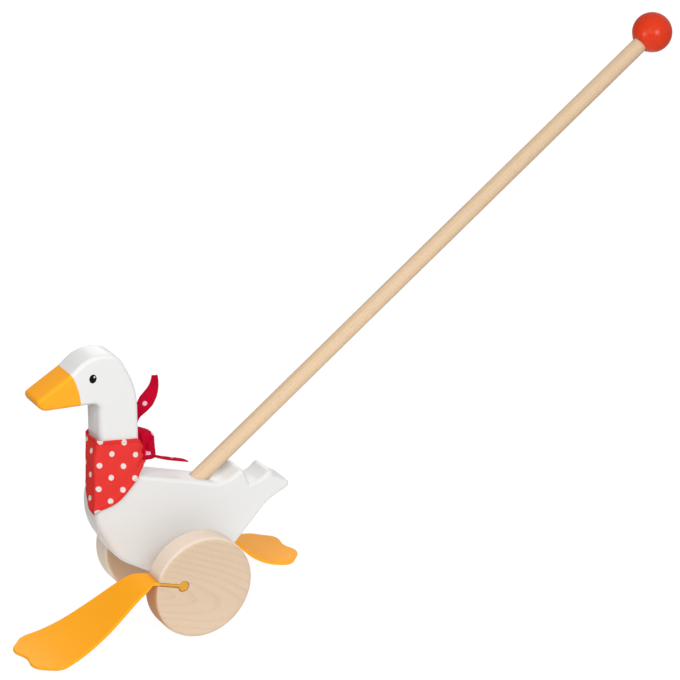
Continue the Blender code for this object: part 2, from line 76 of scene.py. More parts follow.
# Places and sizes of the frame
AXLE = joint_place("wheel_roll")
HALF_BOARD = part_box("goose_body")[1].y
WHEEL_RADIUS = AXLE.z
WHEEL_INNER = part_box("left_wheel")[0].y
WHEEL_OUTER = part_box("left_wheel")[1].y
WHEEL_MIDDLE = (WHEEL_INNER + WHEEL_OUTER) / 2
WHEEL_THICKNESS = WHEEL_OUTER - WHEEL_INNER

# Fits
SEAT_GAP = 0.3 * MM
RUNNING_GAP = 0.35 * MM

# Board, as sawn
BOARD_EDGE = 3 * MM
BOARD_MARGIN = 0.12 * MM  # of the flat faces, so that the edges' shading ends there
FRONT_EDGE = 5 * MM  # sanded rounder down the neck and the breast
FRONT_FULLNESS = 0.8 * MM
FRONT_FROM = mm(20, 45)  # forward of the axle, where that edge begins and is full
FRONT_TOP = mm(146, 130)  # above the axle, likewise going down
# Its corners, in millimetres: forward of the axle, above the axle, and the rounding's radius
TIP = 3.2
NECK_FRONT = 58.9
NECK_BACK = 29.8
HEAD_TOP = 177.9
BELLY_BOTTOM = -9.5
GOOSE_CORNERS = (
    (107.2, 153.4, TIP),  # beak tip
    (80.3, 168.0, 10),  # beak meets the forehead
    (67.9, HEAD_TOP, 26),  # forehead
    (44.6, HEAD_TOP, 17),  # back of the head
    (NECK_BACK, 147.5, 60),  # nape
    (NECK_BACK, 79.8, 7),  # neck meets the back
    (-37.5, 57.5, 22),  # hollow behind the stick
    (-52.8, 66.4, TIP),  # wing tip
    (-57.6, 52.6, 1.5),  # notch
    (-68.5, 53.6, 14),  # tail's upper side
    (-75.4, 62.0, TIP),  # upper tail tip
    (-78.6, 54.2, 3),  # step between the tips
    (-94.4, 44.9, TIP),  # lower tail tip
    (-72.5, 35.2, 30),  # under the tail
    (-29.0, BELLY_BOTTOM, 30),  # belly, behind
    (6.0, BELLY_BOTTOM, 25),  # belly, in front
    (47.5, 17.0, 40),  # lower breast
    (63.8, 47.5, 45),  # breast
    (64.6, 64.5, 45),  # upper breast
    (NECK_FRONT, 90.0, 40),  # throat
    (NECK_FRONT, 142.0, 6.5),  # chin
    (103.4, 145.4, 8),  # under the beak
)

# Beak's paint line: forward of the axle at its lower end, and how it leans and bows going up
BEAK_LINE = 73.85 * MM
BEAK_LINE_FOOT = 144 * MM
BEAK_LINE_LEAN = 0.0071
BEAK_LINE_BOW = 10.2

# Eyes
EYE_PLACE = mm(64.1, 162.3)
EYE_SIZE = mm(5.6, 6.6)
EYE_RISE = 0.55 * MM
EYE_SINK = 0.05 * MM  # of its rim, into the board
GLINT_PLACE = mm(-1.0, 1.35)
GLINT_RADIUS = 0.75 * MM

# Stick and handle ball
STICK_RADIUS = 6 * MM
STICK_LENGTH = 500 * MM
STICK_CHAMFER = 1 * MM
STICK_TILT = math.radians(35.5)
STICK_LINE = Vector((-math.cos(STICK_TILT), 0, math.sin(STICK_TILT)))
SOCKET_MOUTH = Vector(mm(-24.3, 0, 63.5))
SOCKET_DEPTH = 30 * MM
STICK_FOOT = AXLE + SOCKET_MOUTH - STICK_LINE * (SOCKET_DEPTH - SEAT_GAP)
BALL_RADIUS = 15 * MM
BALL_BORE_DEPTH = 14 * MM
BALL_LIP = 0.8 * MM

# Axle, spacers and wheels
AXLE_RADIUS = 4 * MM
AXLE_CHAMFER = 0.6 * MM
SPACER_RADIUS = 7.5 * MM
SPACER_EDGE = 0.8 * MM
WHEEL_EDGE = 3.2 * MM
WHEEL_MARGIN = 0.15 * MM
WHEEL_BORE_DEPTH = 12.5 * MM
TOOL_CHAMFER = 0.1 * MM
SLOT_CHAMFER = 0.35 * MM

# Flipper feet
FOOT_THICKNESS = 2.3 * MM
FOOT_EDGE = 0.8 * MM
FOOT_MARGIN = 0.1 * MM
BEAD_RADIUS = 3.9 * MM
BEAD_OFFSET = 17.2 * MM
BEAD_FLAT = 0.97  # of its radius, where its end is flattened
FOOT_INSET = 0.2 * MM
FOOT_LENGTH = 106.5 * MM
FOOT_WIDTH = 58.5 * MM
FOOT_BALL_BACK = 11 * MM
FOOT_SHOULDER = 28 * MM
FOOT_SHOULDER_AT = 9 * MM
FOOT_FLARE = 44.5 * MM
FOOT_FLARE_AT = 49 * MM
FOOT_LOBE = 4.5 * MM
FOOT_LOBE_RADIUS = 11 * MM
FOOT_NOTCH_RADIUS = 14 * MM
FOOT_TOE_OUT = math.radians(2.2)
FOOT_TOE_SLANT = math.radians(5.5)
# How each foot hangs: the toe's reach and drop from the flex line, how far the arch follows the
# slot, how far the toe's end runs straight, and the toe's own slope.
LEFT_DROOP = (*mm(99.5, -34.2, 17.5, 49.6), math.radians(1.5))
RIGHT_DROOP = (*mm(78.4, -54.8, 30, 64), 0)

# Neckerchief: heights are above the axle
CLOTH_LIFT = 1.15 * MM  # from the board to the middle of the cloth
CLOTH_THICKNESS = 0.7 * MM
HEM_WIDTH = 2.6 * MM
HEM_SWELL = 0.35 * MM
WRAP_ROWS = 28
# Sides of the wrap, going round from the knot over the left and the front, and their columns
WRAP_SIDES = (
    ("left funnel", 14), ("left", 22), ("left edge", 8), ("front", 14),
    ("right edge", 8), ("right", 22), ("right funnel", 14),
)
# The hem and the upper edge: the side's number and the share of it, and the height in millimetres
HEM_HEIGHTS = (
    (0.0, 91.5), (0.31, 89), (0.72, 84.2), (1.03, 78.5), (1.2, 73), (1.35, 68.6), (1.5, 65),
    (1.65, 63), (1.8, 62), (2.0, 60.8), (2.5, 59.9), (3.0, 57.8), (3.4, 58.6), (3.6, 59.5),
    (3.8, 61.2), (4.0, 63.6), (4.2, 70), (4.4, 77), (5.0, 83), (6.0, 89), (7.0, 91.5),
)
TOP_HEIGHTS = (
    (0.0, 99), (0.4, 103), (0.68, 108.6), (0.95, 109.6), (2.0, 113.8), (3.0, 114.3),
    (4.2, 113.4), (5.0, 113.4), (6.05, 109.3), (6.5, 104), (7.0, 99),
)
HEIGHT_EASE = 0.12  # of a side, before and behind, over which both edges are softened
# Folds of the wrap: gathers at the knot, a crease down each side, and slack at the hem
GATHER_RISE = 0.75 * MM
CREASE_DEPTH = 0.45 * MM
HEM_SLACK = 0.7 * MM
FOLD_SINK = 0.3 * MM  # the most that a fold goes in
# In front the cloth spans the hollow of the throat: heights, and how far forward it hangs there
FRONT_HANG = (mm(66, 65.8), mm(100, 65), mm(113.4, 62.2))
FRONT_FOLD = 2.5 * MM  # radius of the fold between the left side and the front
# Heights, and how far left of the middle the front turns back there to the right side
FRONT_TURN = (mm(70, 2.5), mm(85, 1.25), mm(101, 1), mm(113.4, -5.5))
RIGHT_TURN = 8 * MM  # how far behind the board's front that turn ends
FUNNEL_START = (33 * MM, HALF_BOARD)  # where the cloth leaves the side of the neck
FUNNEL_TURN = mm(28.5, 11.5)
FUNNEL_END = mm(22.5, 4)  # where it goes into the knot
KNOT_MIDDLE = AXLE + Vector(mm(22.4, 3.2, 100))
KNOT_HALF = mm(5.4, 8.6, 10.1)
TAILS_START = AXLE + Vector(mm(20.9, 0, 99))
KNOT_DOT = mm(1.2, 7, -4.6)
KNOT_PLEATS = 7
KNOT_PLEAT_DEPTH = 0.06  # of its half width, as is the bulge
KNOT_BULGE = 0.04
KNOT_CREASE = 2.4 * MM
KNOT_CREASE_WIDTH = 1.3 * MM
KNOT_CRUMPLE = 0.9 * MM
KNOT_WAVES = (1100, -260)  # of the crumples, in radians to the metre, forward and up
KNOT_EAR = 2.5 * MM
STRAP_HALF = mm(6.4, 10.5)
STRAP_WIDTH = 8.5 * MM
STRAP_THICKNESS = 1.2 * MM
STRAP_GROOVE = 0.4 * MM
STRAP_ROUND = 0.5 * MM  # how far its edges turn in
STRAP_WAIST = 0.16  # of its width, where it is drawn in
STRAP_SKEW = 0.7 * MM
KNOT_SLOPE = 0.55  # how the knot's top falls off backwards
NO_HEM = 10 * HEM_WIDTH  # as far from an edge as cloth without one lies
TAIL_RIPPLE = 0.25 * MM
# Tails: four points of each one's curve from where the tails start, the widths along it, the way
# that it faces, how far it is bowed across as a share of its width, and where along it a dot lies
UPPER_TAIL = (
    (mm(5, -5, 2), mm(7, -4, 29.5), mm(-13.6, -6.5, 25.5), mm(-13, -6, 47)),
    mm(4.5, 2.5, 3.5, 8.3, 10.4, 8.9, 6.2, 3.6),
    (0.4, 0.9, 0.2), 0.12, 28.3 * MM,
)
LOWER_TAIL = (
    (mm(-2, 0.5, -9), mm(-10, 0, -14.5), mm(-21, -1, -17.5), mm(-33, -2, -22.5)),
    mm(8, 9, 9.5, 9),
    (-0.16, -0.14, 0.75), 0.06, 22 * MM,
)
# Print: one dot's place on the left side of the wrap, the step to the next dot of its row, and
# the step to the next row, whose dots lie half way between; forward and up, from the axle.
DOT_PLACE = np.array([52.15, 102.75]) * MM
DOT_STEP = np.array([18.38, 4.69]) * MM
ROW_STEP = np.array([-0.58, 9.01]) * MM
DOT_RADIUS = 2.15 * MM
BACK_DOT_RADIUS = 1.7 * MM  # as the print shows through
FRONT_PRINT_RISE = 0.63  # the cloth lies slanting across the front
FRONT_PRINT_START = 5 * MM
TAIL_PRINT_TURN = math.radians(15)  # the tails are cut on the slant
THREAD = 0.42 * MM
STITCH = 2.8 * MM

# Camera, as the photograph was taken: angles round the toy, distance, and where it aims
CAMERA_TURN = math.radians(150.24)
CAMERA_LIFT = math.radians(23.01)
CAMERA_DISTANCE = 2246 * MM
AIM_RIGHT = 121.3 * MM
AIM_UP = 159.9 * MM
PICTURE_WIDTH = 680
FOCAL_PIXELS = 3097
SENSOR_WIDTH = 36

# Studio: each softbox's place in metres, its width, and its light at the toy
TOY_MIDDLE = Vector((0, 0, 0.12))
SOFTBOXES = (
    ("key", (0.62, 0.95, 1.02), 1.1, 0.76),
    ("side", (-0.1, 1.6, 1.2), 0.9, 0.18),
    ("behind", (-1.3, -2.24, 1.22), 1.4, 0.26),
)
ROOM_BRIGHT_WAY = (-0.88, 0.16, 0.45)
ROOM_LIGHT = (0.08, 0.65)  # away from that way, and along it
# Lamps that shine on the ball alone, for its two highlights
GLOSS_LAMPS = (
    ("gloss left", (1.55, 0.42, 0.43), 0.8, 0.6),
    ("gloss right", (-0.24, 1.93, 0.87), 0.8, 0.55),
)
BOUNCE_DROP = 1 * MM  # below the floor that is seen; the paper lies half way
PAPER_MARGIN = 0.03
PAPER_GLOW = 0.94
FLOOR_HALF = 7
FLOOR_WHITE_TO = 1.7  # metres from the toy
FLOOR_CLOUDS = 1.5  # to the metre
FLOOR_GREY = (0.62, 0.62, 0.62)
FLOOR_TONES = ((0.50, 0.50, 0.50), (0.53, 0.53, 0.53))
PAPER_TONES = ((0.10, 0.10, 0.10), (0.11, 0.11, 0.11))

# Paint, rubber and cloth: two tones that each wanders between, and what is set on it
WHITE_TONES = ((0.715, 0.715, 0.705), (0.74, 0.742, 0.735))
BEAK_TONES = ((0.93, 0.36, 0.009), (0.96, 0.40, 0.018))
EYE_TONES = ((0.003, 0.003, 0.003), (0.006, 0.006, 0.006))
GLINT = (0.62, 0.62, 0.62)
BALL_TONES = ((0.68, 0.034, 0.009), (0.74, 0.05, 0.014))
RUBBER_TONES = ((0.93, 0.365, 0.006), (0.97, 0.405, 0.012))
# Painted shade: the rubber's darker colour where it lies in the wheel's slot
RUBBER_SLOT_SHADE = (0.66, 0.31, 0.033)
CLOTH_TONES = ((0.73, 0.035, 0.032), (0.82, 0.05, 0.042))
CLOTH_DOTS = (0.82, 0.76, 0.73)
# Knot and tails: the cloth's wrong side, its red darkened into deeper crimson as painted shade
SHADED_BACK_TONES = ((0.45, 0.001, 0.022), (0.54, 0.003, 0.03))
BACK_DOTS = (0.82, 0.5, 0.57)
HEM_RED = (0.40, 0.004, 0.012)
STITCH_RED = (0.52, 0.008, 0.016)

# Beech: pale early wood and its darker tint
WHEEL_TONES = ((0.67, 0.525, 0.385), (0.57, 0.405, 0.275))
STICK_TONES = ((0.73, 0.553, 0.375), (0.635, 0.443, 0.275))
STICK_PITH = mm(16, 5)
STICK_YEAR = 2.4 * MM
STICK_LEAN = 0.012
DOWEL_PITH = mm(9, 4)
DOWEL_YEAR = 2 * MM
WHEEL_GRAIN = math.radians(5.5)  # above the slot
# Painted sheen: the tread's paler, whiter tone
TREAD_SHEEN = (0.82, 0.71, 0.61)
# Darker end grain on the tread, which is painted shade as well: it is used on the lower side only
END_GRAIN_SHADE = (0.43, 0.215, 0.095)
# Painted shade: the wheel's inner face, turned toward the board, darker and warmer
INNER_FACE_SHADE = (0.50, 0.31, 0.19)

FAR = 1.0  # metres, past every face of the toy
SHARP_ANGLE = math.radians(32)
ARC_STEP = math.radians(4)

# The two sides: half a turn for the right one, how the foot hangs, and the wheel's wood: where its
# pith lies, across and deep from the middle of the outer face, a year's width, and the pith's lean.
SIDES = (
    ("left", 0.0, LEFT_DROOP, mm(-10, 8.85), 4.6 * MM, -0.233),
    ("right", math.pi, RIGHT_DROOP, mm(14, 6), 4.2 * MM, -0.25),
)


def operator(operation, swapped=False):
    """A method for wires that adds a Math node of this kind."""

    def add_node(wire, *others):
        values = (*others, wire) if swapped else (wire, *others)
        return wire.nodes.node("ShaderNodeMath", {"operation": operation}, dict(enumerate(values)))

    return add_node


class Wire:
    """One value in a tree of nodes. Arithmetic on it adds Math nodes to the tree."""

    def __init__(self, nodes, socket):
        self.nodes = nodes
        self.socket = socket

    __add__ = operator("ADD")
    __radd__ = operator("ADD", swapped=True)
    __sub__ = operator("SUBTRACT")
    __rsub__ = operator("SUBTRACT", swapped=True)
    __mul__ = operator("MULTIPLY")
    __rmul__ = operator("MULTIPLY", swapped=True)
    __truediv__ = operator("DIVIDE")
    __lt__ = operator("LESS_THAN")
    __abs__ = operator("ABSOLUTE")
    least = operator("MINIMUM")
    root = operator("SQRT")
    sine = operator("SINE")
    fraction = operator("FRACT")


class Nodes:
    """A tree of nodes, and the few ways in which this script adds to one."""

    def __init__(self, tree):
        self.tree = tree

    def node(self, kind, settings=None, sockets=None, out=0):
        """Adds a node: its settings first, then its sockets' values or links; gives one output."""
        node = self.tree.nodes.new(kind)
        for key, value in (settings or {}).items():
            setattr(node, key, value)
        for key, value in (sockets or {}).items():
            self.feed(node.inputs[key], value)
        return Wire(self, node.outputs[out])

    def feed(self, socket, value):
        if isinstance(value, Wire):
            self.tree.links.new(value.socket, socket)
        else:
            socket.default_value = value

    def place(self):
        """The point on the piece, where it lies in the toy at rest."""
        return self.node("ShaderNodeTexCoord", out="Object")

    def chart(self, name):
        """The point on a cloth's own chart."""
        return self.node("ShaderNodeUVMap", {"uv_map": name})

    def parts(self, vector):
        first = self.node("ShaderNodeSeparateXYZ", None, {0: vector})
        return [Wire(self, output) for output in first.socket.node.outputs]

    def vector(self, x, y, z):
        return self.node("ShaderNodeCombineXYZ", None, {0: x, 1: y, 2: z})

    def dot(self, vector, direction):
        settings = {"operation": "DOT_PRODUCT"}
        return self.node("ShaderNodeVectorMath", settings, {0: vector, 1: direction}, "Value")

    def noise(self, vector, scale, detail=2.0, roughness=0.5):
        sockets = {"Vector": vector, "Scale": scale, "Detail": detail, "Roughness": roughness}
        return self.node("ShaderNodeTexNoise", None, sockets)

    def streaks(self, parts, scales, detail=2.0):
        """Noise with a scale of its own along each of three directions."""
        return self.noise(self.vector(*(part * scale for part, scale in zip(parts, scales))), 1.0, detail)

    def ease(self, value, low, high):
        """Rises smoothly from 0 at low to 1 at high."""
        settings = {"interpolation_type": "SMOOTHSTEP"}
        return self.node("ShaderNodeMapRange", settings, {0: value, 1: low, 2: high})

    def mix(self, share, one, other):
        """A colour between two colours."""
        one, other = (c if isinstance(c, Wire) else (*c, 1) for c in (one, other))
        return self.node("ShaderNodeMix", {"data_type": "RGBA"}, {0: share, 6: one, 7: other}, 2)


class Finish(Nodes):
    """A material: fixed values on its shader, and nodes for what changes over the surface."""

    def __init__(self, name, ior, specular, glow=0.0):
        self.material = bpy.data.materials.new(name)
        self.material.use_nodes = True
        super().__init__(self.material.node_tree)
        self.sockets = self.tree.nodes["Principled BSDF"].inputs
        self.set({"IOR": ior, "Specular IOR Level": specular})
        self.set({"Emission Color": (1, 1, 1, 1), "Emission Strength": glow})

    def set(self, values):
        for socket, value in values.items():
            self.feed(self.sockets[socket], value)

    def dress(self, colour, roughness, height, relief):
        """Feeds the shader: colour, roughness, and a height whose full range is this relief."""
        sockets = {"Height": height, "Distance": relief, "Strength": 1.0}
        normal = self.node("ShaderNodeBump", None, sockets)
        self.set({"Base Color": colour, "Roughness": roughness, "Normal": normal})
        return self


def white_and_beak_paint():
    """Satin white over a planed board, with the beak masked off and sprayed orange."""
    finish = Finish("white paint", 1.46, 0.3)
    place = finish.place()
    x, y, z = finish.parts(place)
    height = z - (AXLE.z + BEAK_LINE_FOOT)
    line = BEAK_LINE + BEAK_LINE_LEAN * height + BEAK_LINE_BOW * (height * height)
    waver = finish.noise(place, 260) - 0.5
    beak = finish.ease(x - line + waver * (0.5 * MM), -0.18 * MM, 0.18 * MM)
    clouds = finish.noise(place, 18, 3)
    white = finish.mix(clouds, *WHITE_TONES)
    orange = finish.mix(clouds, *BEAK_TONES)
    fibres = finish.streaks((x, y, z), (22, 420, 420), 3)
    peel = finish.noise(place, 900, 1)
    ridge = finish.ease(abs(x - line), 0.35 * MM, 0.05 * MM)
    colour = finish.mix(beak, white, orange)
    roughness = 0.36 + 0.1 * clouds - 0.05 * beak + 0.05 * (fibres - 0.5)
    return finish.dress(colour, roughness, 0.5 * fibres + 0.25 * peel + 0.5 * ridge, 0.035 * MM)


def eye_paint():
    """Black gloss drop with a small pale glint."""
    finish = Finish("eye paint", 1.45, 0.08)
    place = finish.place()
    x, _, z = finish.parts(place)
    across = x - (AXLE.x + EYE_PLACE[0] + GLINT_PLACE[0])
    above = z - (AXLE.z + EYE_PLACE[1] + GLINT_PLACE[1])
    away = (across * across + above * above).root()
    glint = finish.ease(away, GLINT_RADIUS * 1.15, GLINT_RADIUS * 0.75)
    speckle = finish.noise(place, 1500, 2)
    colour = finish.mix(glint, finish.mix(speckle, *EYE_TONES), GLINT)
    return finish.dress(colour, 0.18 + 0.12 * speckle, speckle, 0.01 * MM)


def red_paint():
    """Gloss red on the turned ball."""
    finish = Finish("red paint", 1.45, 0.15)
    place = finish.place()
    clouds = finish.noise(place, 60, 3)
    rings = finish.streaks((finish.dot(place, STICK_LINE), 0.0, 0.0), (700, 0, 0))
    colour = finish.mix(clouds, *BALL_TONES)
    return finish.dress(colour, 0.2 + 0.06 * clouds, 0.6 * rings + 0.4 * clouds, 0.03 * MM)


def beech(name, middle, grain, across, pith, ring, lean=0.0, tones=WHEEL_TONES, reach=FAR, thickness=FAR):
    """Sanded beech: growth rings about a pith line, dark rays along the grain, fine pores.

    grain and across are directions from the piece's middle, pith is the pith's place across and
    deep, ring a year's width, lean how much deeper the pith goes for each length along, tones the
    pale early wood and its darker tint, and reach the radius of the tread, which gets a paler
    painted sheen, and darker end grain that is painted shade too, on the lower side only. Thickness
    is how deep the inner face lies, which gets darker and warmer painted shade.
    """
    finish = Finish(name, 1.45, 0.1)
    place = finish.place()
    ways = (grain, across, grain.cross(across))
    spot = along, side, depth = [finish.dot(place, way) - middle.dot(way) for way in ways]
    sway = finish.streaks(spot, (14, 40, 40)) - 0.5
    aside = side - pith[0]
    below = depth - pith[1] - along * lean
    years = (aside * aside + below * below).root() / ring + sway * 0.9
    year = years.fraction()
    late = finish.ease(year, 0.45, 0.9) * finish.ease(year, 1.0, 0.93)
    strength = finish.streaks(spot, (25, 90, 90))
    fibres = finish.streaks(spot, (90, 1900, 1900), 3)
    rays = finish.ease(finish.streaks(spot, (420, 2600, 1400), 0), 0.62, 0.74)
    clouds = finish.streaks(spot, (9, 55, 55))
    body = finish.mix(0.25 * clouds + 0.35 * fibres, *tones)
    ringed = finish.mix(late * strength * 0.42, body, [c * 0.86 for c in tones[1]])
    flecked = finish.mix(rays * 0.22, ringed, [c * 0.72 for c in tones[1]])
    round_way = (along * along + side * side).root()
    rim = finish.ease(round_way, reach - 1.6 * MM, reach - 0.3 * MM)
    # painted sheen: the tread mixed toward a paler, whiter tone
    sheened_tread = finish.mix(rim * 0.75, flecked, TREAD_SHEEN)
    # end grain darkens the tread, kept to its lower side only, so it is painted shade there too
    ends = rim * finish.ease(abs(along) / round_way, 0.15, 0.55) * finish.ease(side, 4 * MM, -6 * MM)
    end_grain_shaded = finish.mix(ends * 0.9, sheened_tread, END_GRAIN_SHADE)
    # painted shade: the inner face, turned toward the board, darker and warmer
    inner = finish.ease(depth, thickness - 0.8 * MM, thickness - 0.1 * MM)
    colour = finish.mix(inner * 0.7, end_grain_shaded, INNER_FACE_SHADE)
    roughness = 0.6 + 0.1 * fibres + 0.06 * late
    return finish.dress(colour, roughness, fibres - 0.5 * rays - 0.2 * late, 0.005 * MM)


def wheel_beech(side, turn, slot_rise, pith, year, lean):
    """Flat-sawn beech, whose rings run out on the wheel's face in long arches."""
    frame_turn = on_side(turn, slot_rise).to_3x3() @ Matrix.Rotation(-WHEEL_GRAIN, 3, "Y")
    grain, out, across = (frame_turn @ Vector(way) for way in ((1, 0, 0), (0, 1, 0), (0, 0, 1)))
    middle = AXLE + out * WHEEL_OUTER
    return beech(f"{side} wheel beech", middle, grain, across, pith, year, lean, reach=WHEEL_RADIUS,
                 thickness=WHEEL_THICKNESS)


def orange_rubber():
    """Matt moulded rubber with a fine even skin and faint flow marks, and painted shade: darker where it
    lies inside the wheel.
    """
    finish = Finish("orange rubber", 1.48, 0.2)
    place = finish.place()
    x, y, z = finish.parts(place)
    clouds = finish.noise(place, 26, 3)
    flow = finish.streaks((x, y, z), (20, 130, 20))
    skin = finish.noise(place, 1800, 2, 0.6)
    ahead, above = x - AXLE.x, z - AXLE.z
    from_axle = (ahead * ahead + above * above).root()
    # painted shade on the bead and tongue inside the wheel
    slot_shade = finish.ease(from_axle, WHEEL_RADIUS + 0.5 * MM, WHEEL_RADIUS - 2.5 * MM)
    even = finish.mix(0.6 * clouds + 0.4 * flow, *RUBBER_TONES)
    colour = finish.mix(slot_shade, even, RUBBER_SLOT_SHADE)
    roughness = 0.5 + 0.12 * skin + 0.06 * (clouds - 0.5)
    return finish.dress(colour, roughness, 0.7 * skin + 0.3 * flow, 0.04 * MM)


def dotted_cloth(name, tones, dots, radius=DOT_RADIUS):
    """Red plain weave with printed dots, a turned hem and its row of stitches."""
    finish = Finish(name, 1.4, 0.08)
    step, row, _ = finish.parts(finish.chart("print"))
    along, inside, _ = finish.parts(finish.chart("edge"))
    pair = row / 2
    step_length, pair_length = np.linalg.norm(DOT_STEP), 2 * np.linalg.norm(ROW_STEP)
    nearest = []
    for shift in (0.5, 0.0):
        aside = ((step + shift).fraction() - 0.5) * step_length
        above = ((pair + shift).fraction() - 0.5) * pair_length
        nearest.append((aside * aside + above * above).root())
    weave_place = finish.vector(step * step_length, pair * pair_length, 0.0)
    fray = finish.noise(weave_place, 1600, 1) - 0.5
    away = nearest[0].least(nearest[1]) + fray * (0.35 * MM)
    dot = finish.ease(away, radius + 0.12 * MM, radius - 0.12 * MM)
    warp = (step * (step_length * math.pi / THREAD)).sine()
    weft = (pair * (pair_length * math.pi / THREAD)).sine()
    over = finish.ease(warp * weft, -0.25, 0.25)
    weave = over * abs(warp) + (1 - over) * abs(weft)
    slubs = finish.streaks((step, pair, 0.0), (9, 160, 0))
    clouds = finish.noise(weave_place, 90, 3)
    turned_in = finish.ease(inside, HEM_WIDTH + 0.3 * MM, HEM_WIDTH - 0.3 * MM)
    stitch_line = finish.ease(abs(inside - (HEM_WIDTH - 0.5 * MM)), 0.28 * MM, 0.12 * MM)
    stitches = stitch_line * ((along / STITCH).fraction() < 0.68)
    red = finish.mix(0.5 * clouds + 0.3 * slubs + 0.2 * weave, *tones)
    printed = finish.mix(dot * 0.96, red, dots)
    hemmed = finish.mix(turned_in * 0.12, printed, HEM_RED)
    colour = finish.mix(stitches * 0.6, hemmed, STITCH_RED)
    return finish.dress(colour, 0.8 + 0.12 * slubs, weave + 0.8 * stitches + 0.3 * turned_in, 0.09 * MM)


def matt_floor(name, tones, specular=0.1, glow=0.0):
    """Matt board or paper with faint clouds, which may glow."""
    finish = Finish(name, 1.4, specular, glow)
    clouds = finish.noise(finish.place(), FLOOR_CLOUDS)
    return finish.dress(finish.mix(clouds, *tones), 0.85 + 0.05 * clouds, clouds, 0.05 * MM)


def white_floor():
    """White floor lit from below, so that the toy throws no shadow on it; greyer far off."""
    finish = matt_floor("white floor", PAPER_TONES, 0.0, PAPER_GLOW)
    x, y, _ = finish.parts(finish.place())
    away = (x * x + y * y).root() + 0.1 * finish.noise(finish.place(), FLOOR_CLOUDS)
    far = finish.ease(away, FLOOR_WHITE_TO, FLOOR_HALF)
    finish.set({"Emission Color": finish.mix(far, (1, 1, 1), FLOOR_GREY)})
    finish.material.cycles.emission_sampling = "NONE"  # it is only looked at, and lights nothing
    return finish


def make_piece(name, bm, finish=None, place=None):
    """A piece of the toy from this mesh, put in its place, smooth between its sharp edges."""
    if place is not None:
        bmesh.ops.transform(bm, matrix=place, verts=bm.verts)
    bmesh.ops.recalc_face_normals(bm, faces=bm.faces)
    mesh = bpy.data.meshes.new(name)
    bm.to_mesh(mesh)
    bm.free()
    piece = bpy.data.objects.new(name, mesh)
    bpy.context.scene.collection.objects.link(piece)
    if finish is not None:
        mesh.materials.append(finish.material)
    smooth(piece)
    return piece


def smooth(piece):
    piece.data.shade_smooth()
    piece.data.set_sharp_from_angle(angle=SHARP_ANGLE)


def carve(piece, cutter):
    """Cuts the cutter out of the piece for good, and deletes the cutter."""
    modifier = piece.modifiers.new("carve", "BOOLEAN")
    modifier.operation = "DIFFERENCE"
    modifier.solver = "EXACT"
    modifier.object = cutter
    bpy.context.view_layer.update()
    carved = piece.evaluated_get(bpy.context.evaluated_depsgraph_get())
    mesh = bpy.data.meshes.new_from_object(carved)
    piece.modifiers.clear()
    piece.data = mesh
    bpy.data.objects.remove(cutter, do_unlink=True)
    smooth(piece)


def soft_step(value, start, end):
    """0 before the start, 1 past the end, and an even rise between."""
    share = min(max((value - start) / (end - start), 0), 1)
    return share * share * (3 - 2 * share)


def rounded_outline(corners, step=ARC_STEP):
    """Points of a closed outline whose corners are arcs, each point with its left-hand normal."""
    points, normals = [], []
    count = len(corners)
    for i in range(count):
        before, here, after = (Vector(corners[k % count][:2]) for k in (i - 1, i, i + 1))
        radius = corners[i][2]
        way_in = (here - before).normalized()
        way_out = (after - here).normalized()
        turn = way_in.angle_signed(way_out)
        side = -1 if turn > 0 else 1  # angle_signed counts clockwise as positive
        inset = radius * math.tan(abs(turn) / 2)
        left_in = Vector((-way_in.y, way_in.x))
        centre = here - way_in * inset + left_in * side * radius
        steps = max(2, math.ceil(abs(turn) / step))
        for k in range(steps + 1):
            angle = side * abs(turn) * k / steps
            left = Vector((
                left_in.x * math.cos(angle) - left_in.y * math.sin(angle),
                left_in.x * math.sin(angle) + left_in.y * math.cos(angle),
            ))
            points.append(centre - left * side * radius)
            normals.append(left)
    return points, normals


def goose_outline():
    """The board's outline: its points, their inward normals, and the rounding of the edges there."""
    points, inward = rounded_outline([mm(*corner) for corner in GOOSE_CORNERS])
    edges = []
    for k, (point, way) in enumerate(zip(points, inward)):
        front = soft_step(point.x, *FRONT_FROM) * soft_step(point.y, *FRONT_TOP)
        edges.append(BOARD_EDGE + (FRONT_EDGE - BOARD_EDGE) * front)
        points[k] = point - way * FRONT_FULLNESS * front
    return points, inward, edges


def skin(bm, rings):
    """Faces between rings of vertices that follow each other, and one over each end."""
    for low, high in zip(rings, rings[1:]):
        for i in range(len(low)):
            j = (i + 1) % len(low)
            bm.faces.new((low[i], low[j], high[j], high[i]))
    bm.faces.new(rings[0])
    bm.faces.new(rings[-1])
    return bm


def rounded_board(outline, half_thickness, edge_steps, margin):
    """A board in the XZ plane, its edges rounded on both faces, with a narrow flat margin inside."""
    points, inward, edges = outline
    quarter = [math.pi / 2 * k / edge_steps for k in range(edge_steps + 1)]
    levels = [(1 - math.cos(a), 1 - math.sin(a), 0) for a in quarter] + [(1, 0, margin)]
    bm = bmesh.new()
    rings = []
    for side, steps in ((-1, levels[::-1]), (1, levels)):
        for inset, drop, more in steps:
            ring = []
            for point, way, edge in zip(points, inward, edges):
                flat = point + way * (edge * inset + more)
                ring.append(bm.verts.new((flat.x, side * (half_thickness - edge * drop), flat.y)))
            rings.append(ring)
    return skin(bm, rings)


def turned(profile, steps):
    """A solid turned about Y from (radius, along) points; a profile off the axis is closed on itself."""
    bm = bmesh.new()
    rings = []
    for radius, along in profile:
        count = steps if radius > 0 else 1
        angles = [2 * math.pi * k / count for k in range(count)]
        rings.append([bm.verts.new((radius * math.cos(a), along, radius * math.sin(a))) for a in angles])
    pairs = list(zip(rings, rings[1:]))
    if profile[0][0] > 0:
        pairs.append((rings[-1], rings[0]))
    for low, high in pairs:
        for k in range(steps):
            m = (k + 1) % steps
            corners = [low[k % len(low)], low[m % len(low)], high[m % len(high)], high[k % len(high)]]
            bm.faces.new(list(dict.fromkeys(corners)))
    return bm


